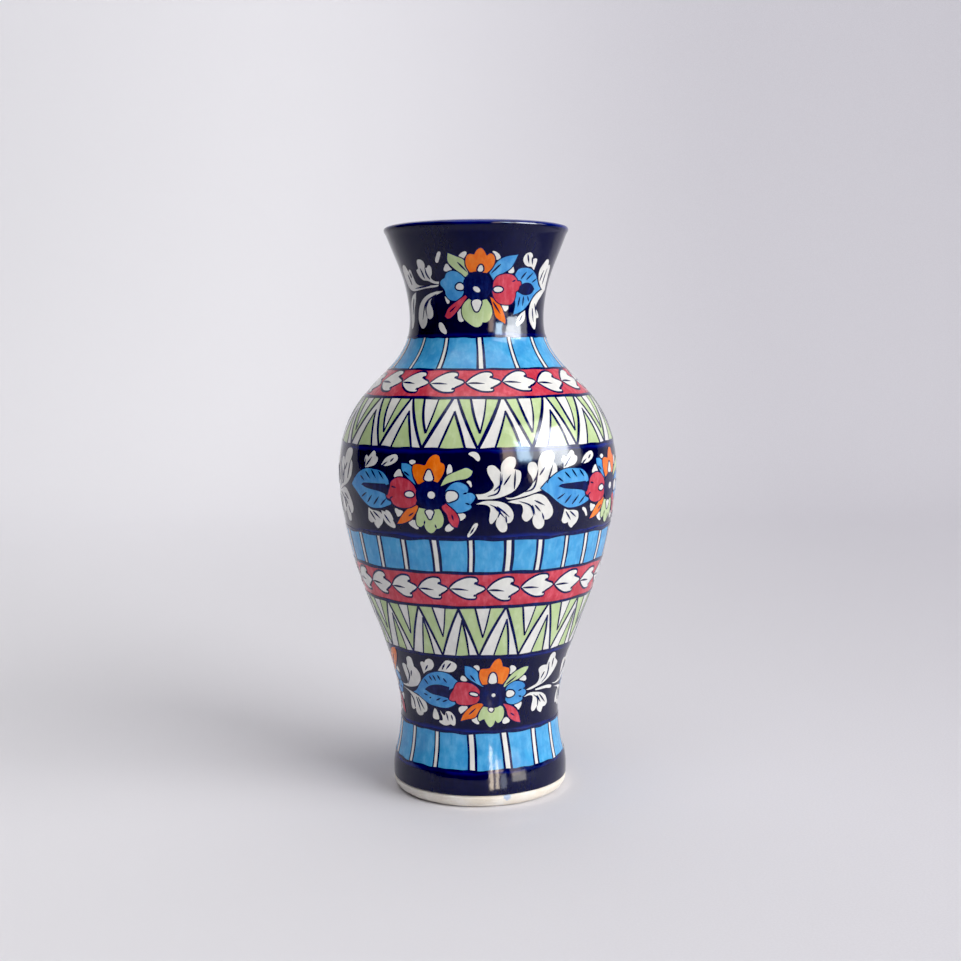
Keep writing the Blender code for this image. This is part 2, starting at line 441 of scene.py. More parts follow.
def painting_tree():
    """Node tree that repeats a flat stencil and lays it round the thrown wall."""
    tree = bpy.data.node_groups.new("Painted round the wall", "GeometryNodeTree")
    face = tree.interface
    kinds = (("Places", "Geometry"), ("Stencil", "Object"), ("Wall", "Object"),
             ("Unrolled Radius", "Float"), ("Looseness", "Float"), ("Seed", "Int"),
             ("Paint", "Material"))
    for name, kind in kinds:
        face.new_socket(name, in_out="INPUT", socket_type="NodeSocket" + kind)
    face.new_socket("Painting", in_out="OUTPUT", socket_type="NodeSocketGeometry")

    def node(kind, **settings):
        made = tree.nodes.new(kind)
        for key, value in settings.items():
            setattr(made, key, value)
        return made

    def named(name, kind):
        made = node("GeometryNodeInputNamedAttribute", data_type=kind)
        made.inputs["Name"].default_value = name
        return made.outputs["Attribute"]

    def maths(operation, a, b=None):
        made = node("ShaderNodeMath", operation=operation)
        for socket, value in zip(made.inputs, (a, b)):
            if isinstance(value, (int, float)):
                socket.default_value = value
            elif value is not None:
                tree.links.new(value, socket)
        return made.outputs[0]

    link = tree.links.new
    given = node("NodeGroupInput").outputs
    stencil = node("GeometryNodeObjectInfo", transform_space="ORIGINAL")
    link(given["Stencil"], stencil.inputs["Object"])
    wall = node("GeometryNodeObjectInfo", transform_space="ORIGINAL")
    link(given["Wall"], wall.inputs["Object"])

    wobble = node("FunctionNodeRandomValue", data_type="FLOAT")
    wobble.inputs[2].default_value = -1.0
    wobble.inputs[3].default_value = 1.0
    link(given["Seed"], wobble.inputs["Seed"])
    loose = maths("MULTIPLY", named("hidden", "FLOAT"), given["Looseness"])
    tilt = maths("ADD", named("tilt", "FLOAT"), maths("MULTIPLY", wobble.outputs[1], loose))
    turn = node("ShaderNodeCombineXYZ")
    link(tilt, turn.inputs["Y"])
    copies = node("GeometryNodeInstanceOnPoints")
    link(given["Places"], copies.inputs["Points"])
    link(stencil.outputs["Geometry"], copies.inputs["Instance"])
    link(turn.outputs[0], copies.inputs["Rotation"])
    link(named("size", "FLOAT_VECTOR"), copies.inputs["Scale"])
    real = node("GeometryNodeRealizeInstances")
    link(copies.outputs[0], real.inputs[0])

    spot = node("ShaderNodeSeparateXYZ")
    link(node("GeometryNodeInputPosition").outputs[0], spot.inputs[0])
    angle = maths("DIVIDE", spot.outputs["X"], given["Unrolled Radius"])
    height = node("ShaderNodeCombineXYZ")
    link(spot.outputs["Z"], height.inputs["Z"])
    ray = node("ShaderNodeCombineXYZ")
    link(maths("SINE", angle), ray.inputs["X"])
    link(maths("MULTIPLY", maths("COSINE", angle), -1.0), ray.inputs["Y"])
    cast = node("GeometryNodeRaycast")
    link(wall.outputs["Geometry"], cast.inputs["Target Geometry"])
    link(height.outputs[0], cast.inputs["Source Position"])
    link(ray.outputs[0], cast.inputs["Ray Direction"])
    cast.inputs["Ray Length"].default_value = RAY
    raised = node("ShaderNodeVectorMath", operation="SCALE")
    link(cast.outputs["Hit Normal"], raised.inputs[0])
    link(named("lift", "FLOAT"), raised.inputs["Scale"])
    total = node("ShaderNodeVectorMath", operation="ADD")
    link(cast.outputs["Hit Position"], total.inputs[0])
    link(raised.outputs[0], total.inputs[1])
    laid = node("GeometryNodeSetPosition")
    link(real.outputs[0], laid.inputs["Geometry"])
    link(total.outputs[0], laid.inputs["Position"])
    painted = node("GeometryNodeSetMaterial")
    link(laid.outputs[0], painted.inputs["Geometry"])
    link(given["Paint"], painted.inputs["Material"])
    link(painted.outputs[0], node("NodeGroupOutput").inputs[0])
    return tree


def guide_wall():
    """Bare outer wall that the films are laid on, removed once they are."""
    heights = steps(12.0, LIP_START, 1.0)
    return turned("guide_wall", [outside(h)[:2] for h in heights[::-1]], closed=False)


def painted(name, films, places, radius, paint, looseness=0.0, seed=1):
    """One colour of one band as a piece.

    Its films are repeated at places of (across, height, tilt, stretch across,
    stretch up, hidden). A hidden place also gets the band's looseness.
    """
    stencil = bpy.data.objects.new(name + "_stencil", film_mesh(name + "_stencil", films))
    bpy.context.scene.collection.objects.link(stencil)
    mesh = bpy.data.meshes.new(name + "_places")
    mesh.from_pydata([(p[0] * MM, 0.0, p[1] * MM) for p in places], [], [])
    tilts = [math.radians(p[2]) for p in places]
    sizes = [value for p in places for value in (p[3], 1.0, p[4])]
    hidden = [float(p[5]) for p in places]
    mesh.attributes.new("tilt", "FLOAT", "POINT").data.foreach_set("value", tilts)
    mesh.attributes.new("size", "FLOAT_VECTOR", "POINT").data.foreach_set("vector", sizes)
    mesh.attributes.new("hidden", "FLOAT", "POINT").data.foreach_set("value", hidden)
    raw = bpy.data.objects.new(name + "_raw", mesh)
    bpy.context.scene.collection.objects.link(raw)
    modifier = raw.modifiers.new("Painting", "NODES")
    modifier.node_group = PAINTING
    values = {"Stencil": stencil, "Wall": GUIDE, "Unrolled Radius": radius * MM,
              "Looseness": math.radians(looseness), "Seed": seed, "Paint": PAINTS[paint]}
    for item in PAINTING.interface.items_tree:
        if item.name in values:
            modifier[item.identifier] = values[item.name]
    piece = plain(raw, name)
    bpy.data.objects.remove(stencil)
    follow_wall(piece)
    finish_piece(piece, paint)


# ------------------------------------------------------------------- glazes

GLOSS = 0.07           # roughness of the glaze at its smoothest
GLAZE_IOR = 1.41
COAT = 0.08            # weight of the clear layer on top
COAT_ROUGHNESS = 0.03
COAT_IOR = 1.5
RAGGED = 0.0012        # metres, how far the cobalt's edges wander
SPLASH = (0.0141, -0.0448, 0.0057)      # drop of sky glaze on the bare foot, in metres
SPLASH_EDGE = (0.0012, 0.0026)          # where the drop begins to fade and where it ends


def tone(red, green, blue):
    """Screen colour 0-255 as a linear colour."""
    values = [v / 255.0 for v in (red, green, blue)]
    lin = [v / 12.92 if v <= 0.04045 else ((v + 0.055) / 1.055) ** 2.4 for v in values]
    return (*lin, 1.0)


class Finish:
    """A node material under construction, with short helpers."""

    def __init__(self, name):
        self.material = bpy.data.materials.new(name)
        self.material.use_nodes = True
        self.nodes = self.material.node_tree.nodes
        self.links = self.material.node_tree.links
        self.shader = self.nodes["Principled BSDF"]
        self.place = self.node("ShaderNodeTexCoord").outputs["Object"]

    def node(self, kind, **settings):
        """New node with its settings."""
        made = self.nodes.new(kind)
        for key, value in settings.items():
            setattr(made, key, value)
        return made

    def feed(self, socket, value):
        """Link another node's socket to this one, or set it to a value."""
        if isinstance(value, bpy.types.NodeSocket):
            self.links.new(value, socket)
        else:
            socket.default_value = value

    def noise(self, scale, detail=3.0, roughness=0.55, stretch=None, distortion=0.0):
        """Noise over the object, stretched along its axes if wanted."""
        made = self.node("ShaderNodeTexNoise")
        made.inputs["Scale"].default_value = scale
        made.inputs["Detail"].default_value = detail
        made.inputs["Roughness"].default_value = roughness
        made.inputs["Distortion"].default_value = distortion
        place = self.place
        if stretch:
            mapping = self.node("ShaderNodeMapping")
            mapping.inputs["Scale"].default_value = stretch
            self.links.new(place, mapping.inputs["Vector"])
            place = mapping.outputs[0]
        self.links.new(place, made.inputs["Vector"])
        return made.outputs["Fac"]

    def maths(self, operation, a, b=0.0):
        """One sum of two values."""
        made = self.node("ShaderNodeMath", operation=operation)
        self.feed(made.inputs[0], a)
        self.feed(made.inputs[1], b)
        return made.outputs[0]

    def between(self, value, low, high, bottom=0.0, top=1.0):
        """Value taken from low..high to bottom..top, held at both ends."""
        made = self.node("ShaderNodeMapRange", interpolation_type="SMOOTHSTEP")
        for socket, given in zip(made.inputs, (value, low, high, bottom, top)):
            self.feed(socket, given)
        return made.outputs[0]

    def mix(self, factor, first, second):
        """First colour going over to the second by factor."""
        made = self.node("ShaderNodeMix", data_type="RGBA")
        self.feed(made.inputs["Factor"], factor)
        self.feed(made.inputs[6], first)
        self.feed(made.inputs[7], second)
        return made.outputs[2]

    def bump(self, height, strength, distance):
        """Fine relief for the shader."""
        made = self.node("ShaderNodeBump")
        made.inputs["Strength"].default_value = strength
        made.inputs["Distance"].default_value = distance
        self.feed(made.inputs["Height"], height)
        self.links.new(made.outputs[0], self.shader.inputs["Normal"])


def glaze(name, thin, middle, thick, wash, depth=0.6, edges=None):
    """Glossy fired glaze whose colour wanders from thin to thick brushwork."""
    f = Finish(name)
    broad = f.noise(wash, 4.0, 0.6, distortion=0.4)
    streaks = f.noise(420.0, 3.0, 0.6, stretch=(1.0, 1.0, 0.3))
    speck = f.noise(900.0, 2.0, 0.5)
    pool = f.between(broad, 0.34, 0.70, 0.0, depth)
    colour = f.mix(f.between(streaks, 0.40, 0.72, 0.0, depth), middle, thin)
    colour = f.mix(pool, colour, thick)
    if edges:
        height = f.node("ShaderNodeSeparateXYZ")
        f.links.new(f.place, height.inputs[0])
        nearest = 1.0
        for level in edges["levels"]:
            away = f.maths("ABSOLUTE", f.maths("SUBTRACT", height.outputs["Z"], level * MM))
            nearest = f.maths("MINIMUM", nearest, away)
        ragged = f.maths("ADD", nearest, f.between(broad, 0.2, 0.8, -RAGGED, RAGGED))
        thinned = f.between(ragged, 0.0, edges["reach"] * MM, 1.0, 0.0)
        colour = f.mix(thinned, colour, edges["colour"])
    else:
        colour = f.mix(f.between(speck, 0.62, 0.74, 0.0, 0.4 * depth), colour, thick)
    f.feed(f.shader.inputs["Base Color"], colour)
    f.feed(f.shader.inputs["Roughness"], f.between(broad, 0.3, 0.7, GLOSS, GLOSS + 0.08))
    f.shader.inputs["IOR"].default_value = GLAZE_IOR
    f.shader.inputs["Coat Weight"].default_value = COAT
    f.shader.inputs["Coat Roughness"].default_value = COAT_ROUGHNESS
    f.shader.inputs["Coat IOR"].default_value = COAT_IOR
    peel = f.maths("ADD", f.noise(260.0, 2.0, 0.5), f.maths("MULTIPLY", speck, 0.12))
    f.bump(peel, 0.12, 0.0006)
    return f.material


def fired_clay():
    """Sandy bare clay, a little stained, with one drop of sky glaze at the foot."""
    f = Finish("bare_clay_fired")
    sand = f.noise(1400.0, 3.0, 0.7)
    stain = f.noise(70.0, 4.0, 0.6)
    colour = f.mix(f.between(stain, 0.35, 0.7), tone(248, 244, 236), tone(236, 226, 210))
    colour = f.mix(f.between(sand, 0.58, 0.75, 0.0, 0.35), colour, tone(206, 184, 156))
    away = f.node("ShaderNodeVectorMath", operation="DISTANCE")
    f.links.new(f.place, away.inputs[0])
    away.inputs[1].default_value = SPLASH
    ragged = f.maths("ADD", away.outputs["Value"], f.between(sand, 0.2, 0.8, -0.0006, 0.0006))
    colour = f.mix(f.between(ragged, *SPLASH_EDGE, 0.7, 0.0), colour, tone(136, 176, 226))
    f.feed(f.shader.inputs["Base Color"], colour)
    f.shader.inputs["Roughness"].default_value = 0.72
    f.bump(sand, 0.4, 0.0003)
    return f.material


# Heights in millimetres where the cobalt coat ends and thins out to a lighter blue
COBALT_EDGES = {"levels": (19.4, 38.9, 80.8, 143.6, 187.8, 242.2, 299.6), "reach": 2.4,
                "colour": tone(8, 34, 132)}
PAINTS = {
    "clay": fired_clay(),
    "lining": glaze("white_glaze_inside", tone(238, 235, 232), tone(230, 227, 224),
                    tone(214, 212, 214), wash=60.0),
    "white": glaze("white_glaze_brushed", tone(250, 250, 246), tone(240, 239, 234),
                   tone(222, 221, 220), wash=140.0),
    "cobalt": glaze("cobalt_glaze", tone(7, 14, 72), tone(5, 9, 52), tone(4, 5, 36),
                    wash=24.0, depth=0.35, edges=COBALT_EDGES),
    "ink": glaze("cobalt_line", tone(18, 42, 122), tone(9, 18, 76), tone(6, 8, 50), wash=160.0),
    "sky": glaze("sky_glaze", tone(122, 200, 244), tone(80, 174, 230), tone(52, 142, 210),
                 wash=150.0),
    "blue": glaze("sky_petal_glaze", tone(120, 196, 244), tone(82, 166, 230),
                  tone(44, 124, 204), wash=120.0),
    "red": glaze("red_glaze", tone(236, 116, 134), tone(212, 70, 88), tone(184, 38, 56),
                 wash=130.0),
    "green": glaze("green_glaze", tone(216, 232, 192), tone(198, 218, 162), tone(182, 206, 146),
                   wash=120.0),
    "orange": glaze("orange_glaze", tone(255, 158, 64), tone(250, 126, 40), tone(232, 98, 24),
                    wash=150.0),
}


def finish_piece(piece, paint, *nodes):
    """Give a piece its paint, join it to the body, and hide the CAD nodes it stands for."""
    piece.data.materials.clear()
    piece.data.materials.append(PAINTS[paint])
    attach(piece, "root")
    if nodes:
        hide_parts(*nodes)


# ------------------------------------------------------------ floral motifs
# Every outline is unrolled: across the band at the motif's radius, and height. A third
# value makes a point a corner. Discs and dots are (across, height, half width, half
# height, turn).

BELLY = {
    "radius": 70.0,
    "orange": (
        ((-28.3, 170.6, 1), (-30.6, 175), (-30.8, 179.5), (-28.5, 180.4), (-25.5, 179.9),
         (-24.6, 179.9, 1), (-23, 183), (-20.5, 185), (-18.2, 184.6), (-17.3, 181.5, 1),
         (-15.5, 180.5), (-15.2, 178), (-16.5, 174.5), (-18.8, 171.3, 1), (-22, 171.5)),
        ((-29.8, 160.5, 1), (-33, 159), (-37, 155.5), (-41, 150.3, 1), (-38, 150.6),
         (-33, 152.8), (-30.3, 156), (-28.7, 159.5)),
    ),
    "red": (
        ((-29.9, 160.5, 1), (-33, 159), (-38, 158.6), (-42, 160), (-43.5, 162.5, 1),
         (-46, 163.5), (-45.5, 165.5), (-43.8, 168), (-43, 171), (-40.5, 173), (-37, 173.6),
         (-33, 172.3), (-30.3, 169.8, 1), (-28.5, 165.2)),
        ((-14.8, 161.3, 1), (-11, 157.8), (-9.5, 155.5), (-8.8, 153), (-9.8, 149.7, 1),
         (-11.5, 150), (-13.5, 152.5), (-14.5, 156), (-16.8, 159.6)),
    ),
    "green": (
        ((-28.5, 159, 1), (-30, 154), (-29.8, 150.3), (-28, 149.4), (-26, 151, 1),
         (-25.5, 148.5), (-23.5, 146.6), (-21.5, 147), (-20, 148.8, 1), (-18.5, 149),
         (-16.8, 150.7), (-16.2, 154), (-17.3, 157.5), (-18.3, 158.6, 1), (-22.5, 158.2)),
        ((-2.2, 177.3, 1), (-3, 175.2), (-5.5, 173.6), (-9, 173), (-13, 171.8),
         (-17.2, 169.8, 1), (-14.5, 174.5), (-11, 176.5), (-7.5, 178), (-5, 178.8)),
    ),
    "blue": (
        ((-14.7, 167.8, 1), (-12.5, 170.5), (-9.5, 171.9), (-6, 171), (-4.3, 169),
         (-4.8, 166.8, 1), (-2.5, 166.5), (-1.2, 165), (-1.7, 163.2), (-3.5, 161, 1),
         (-2.9, 159.7), (-5, 158), (-9, 157), (-12.5, 158.3), (-14.2, 161.3, 1),
         (-15.4, 164.5)),
        ((-37, 180.6, 1), (-33.5, 180.3), (-31.3, 178.5), (-31, 174), (-29.3, 170.2, 1),
         (-33.5, 173.5), (-36.8, 177.5)),
        ((-73.5, 168, 1), (-70, 171.5), (-65, 175), (-60, 176.8), (-54, 176.8),
         (-48.5, 175.8), (-45, 172.5), (-44.3, 170, 1), (-47, 168.5), (-46.2, 162.3),
         (-43.5, 160.6), (-46, 159), (-51, 157.6), (-58, 157.6), (-64, 160.8),
         (-68.5, 164.5)),
    ),
    "white": (
        ((-33, 181.5), (-31.5, 182.4), (-29.6, 181.7), (-30.5, 180.4), (-31.8, 180.2)),
        ((-41.1, 173.7), (-40, 176.5), (-38, 177.6), (-37.1, 176), (-36.5, 173.9)),
        ((-13.9, 175.5), (-13.7, 180), (-12.7, 180.6), (-11.9, 179.5), (-11.7, 177)),
        ((-5, 172.2), (-3.5, 172.6), (-2.7, 170.8), (-3, 169.5), (-4, 171)),
        ((-41.5, 158), (-41, 155), (-40, 153.9), (-37, 156.3), (-39.5, 157.5)),
        ((-34.3, 151.5), (-31.5, 148.6), (-29.2, 148.4), (-30.5, 150.5), (-30.6, 152.5)),
        ((-15.6, 147.9), (-13.3, 151.5), (-11.6, 149)),
        ((-9.6, 156.3), (-5.7, 155.8), (-8.1, 152.9), (-8.5, 154.5)),
        ((-4, 185.9), (0, 186), (0.8, 182.2), (-2, 184)),
        ((-5, 144.9), (-3.5, 148.5), (-1.8, 151.3), (-0.1, 151.6), (-0.5, 149.5),
         (-2.5, 146.5)),
        ((-0.8, 166, 1), (3, 166.3), (6.5, 168.3), (7.5, 170.5), (6, 173.5), (4.5, 177),
         (5, 179.6), (7.5, 179.9), (9.5, 178.2), (10.8, 176.5, 1), (11, 180), (12.5, 182.5),
         (15, 184), (17.5, 183.4), (18, 180.8), (16.8, 178, 1), (18.3, 177.6), (20, 176.8),
         (20.3, 174.5), (19.5, 171), (17, 167.5), (13.5, 165.5), (8, 163.8), (0.3, 163.5, 1)),
        ((-0.8, 161.2, 1), (4, 160.7), (5.8, 159), (5.5, 155.5), (5.4, 152.5), (6.3, 151.3),
         (7.7, 152.5), (9.3, 154.6, 1), (8.5, 152), (8.8, 150), (11, 147.2), (13.2, 147.3),
         (14, 149), (13.7, 151.5, 1), (15.5, 151.8), (16.8, 154), (16.5, 157), (14.5, 160),
         (12, 161.7), (8, 162.6), (3, 162.6)),
        ((13, 164.2, 1), (16, 164), (20, 165.5), (24, 168), (26, 171), (25.3, 174), (23.7, 177),
         (24.3, 180.5), (27, 181), (28.5, 179), (28.8, 177, 1), (29, 181), (31, 184.8),
         (34, 186.1), (37, 185.7), (38, 183.3), (37, 180.5, 1), (38.7, 179), (39, 176),
         (38, 172.5), (34, 168.7), (28, 166.3), (20, 164.1), (14, 163.3)),
        ((14, 162, 1), (18, 161), (20.5, 160.5), (21.5, 157.5), (21, 154.5), (22.3, 152.3),
         (24, 152), (26.8, 154.8, 1), (26.5, 152), (27.5, 149.5), (29.5, 147.9),
         (31.8, 148.3), (32.8, 150.2), (32.6, 152.3, 1), (35, 152.5), (37, 154.5),
         (37, 157.5), (35, 161), (32, 164.3), (28, 165.4), (22, 163.7), (16, 162.6)),
        ((-63.4, 175.2, 1), (-60.7, 177.5), (-61.7, 180.5), (-60.7, 183.5), (-58.7, 182.5, 1),
         (-57.7, 183.8), (-55.2, 185.9), (-53.7, 185), (-53.4, 183.5), (-51.9, 182.5), (-52.2, 180.5),
         (-54.2, 178.7), (-57.7, 177.8)),
        ((-49.2, 179.2, 1), (-47.2, 182.2), (-43.7, 184.2), (-40.2, 184.5), (-39.5, 182.3),
         (-42.2, 180), (-46.2, 178.8)),
        ((-59.7, 157, 1), (-60.4, 153.5), (-60.7, 150.8), (-58.9, 149.5), (-56.7, 150, 1),
         (-56.2, 148.5), (-54.2, 146.9), (-52.7, 148), (-50.7, 149.8), (-49.9, 152), (-50.7, 154.8),
         (-53.2, 155.8), (-56.7, 156)),
        ((-47.7, 156.3), (-45.2, 156), (-43.2, 152.2), (-44.2, 152), (-45.7, 154)),
    ),
    "drops": (
        ((-24.7, 172.8), (-24.4, 175.5), (-22.8, 177.8), (-21.3, 175.7), (-21, 172.8)),
        ((-30.4, 165.4), (-32.5, 164.1), (-35.2, 165.4), (-32.5, 166.9)),
        ((-24.7, 157.6), (-23.9, 154.8), (-22.9, 153.5), (-21.8, 155), (-21.2, 157.6)),
        ((-14.3, 166.9), (-11, 167.5), (-9.2, 166), (-9.5, 164), (-11.5, 162.8),
         (-14.2, 162.4)),
    ),
    "slits": (
        ((-46.6, 170, 1), (-55, 169.8), (-62, 169.5), (-64, 168.5, 1), (-60, 167.2),
         (-50, 165.8), (-45.4, 164.3, 1), (-44.5, 167)),
    ),
    "discs": ((-22.3, 165.3, 7.3, 7.3, 0.0),),
    "dots": ((-21.7, 165.5, 1.8, 1.8, 0.0),),
    "strokes": (
        ((-42.8, 169), (-40, 168.3)), ((-44.2, 162.7), (-42.2, 164)),
        ((-35.7, 176.6), (-32.5, 174.5)), ((-34, 154.5), (-31, 156.5)),
        ((-12.2, 156), (-11.5, 153)), ((-3.6, 146.5), (-1.6, 149.8)),
        ((7.5, 167.5), (10.8, 171), (11.3, 175.5)), ((12, 170.3), (15.5, 175.5)),
        ((7.5, 160), (13, 154)), ((9, 160), (15, 154.5)),
        ((4.6, 164.9), (9.5, 167), (10.6, 176.2)), ((17, 168.2), (17.6, 177.6)),
        ((9.4, 154.4), (10.2, 158), (5.5, 161)), ((13.6, 151.6), (13.2, 155.4)),
        ((27, 154.8), (25.2, 159.6), (19.5, 162.2)), ((32.5, 152.4), (31.2, 156)),
        ((33.4, 170.4), (37, 180.2)), ((22, 166.6), (26.4, 168.4), (28.8, 176.4)),
        ((-61.4, 176.8), (-60.8, 181.6)), ((-49, 178.6), (-45.4, 181)),
        ((-26, 150.8), (-25.6, 152.8)), ((-20, 149), (-20.6, 151)),
        ((-4.8, 166.8), (-6.8, 166.2)), ((-3.7, 161), (-5.8, 161.8)),
        ((26, 171), (28, 174), (28.8, 177.5)), ((29.5, 174.5), (32.5, 178.5)),
        ((26, 160), (27.6, 155)), ((27.3, 160), (30.5, 156.5)), ((27, 162.3), (32.5, 159.5)),
        ((-60.2, 178), (-56, 182.8)), ((-43.7, 181), (-41.7, 183)),
        ((-58.7, 155.5), (-55.2, 151)), ((-56.2, 155.5), (-51.7, 152.2)),
        ((-64.4, 173), (-61.2, 170.6)), ((-60.2, 175.4), (-56.8, 172)),
        ((-55.8, 176.4), (-52.6, 172.4)), ((-50.8, 176), (-47.6, 172.2)),
        ((-64.4, 162.2), (-60, 164.8)), ((-59.8, 159.8), (-56, 163.8)),
        ((-55.2, 159), (-51, 163.4)), ((-50.4, 159), (-46.2, 162.8)),
    ),
}
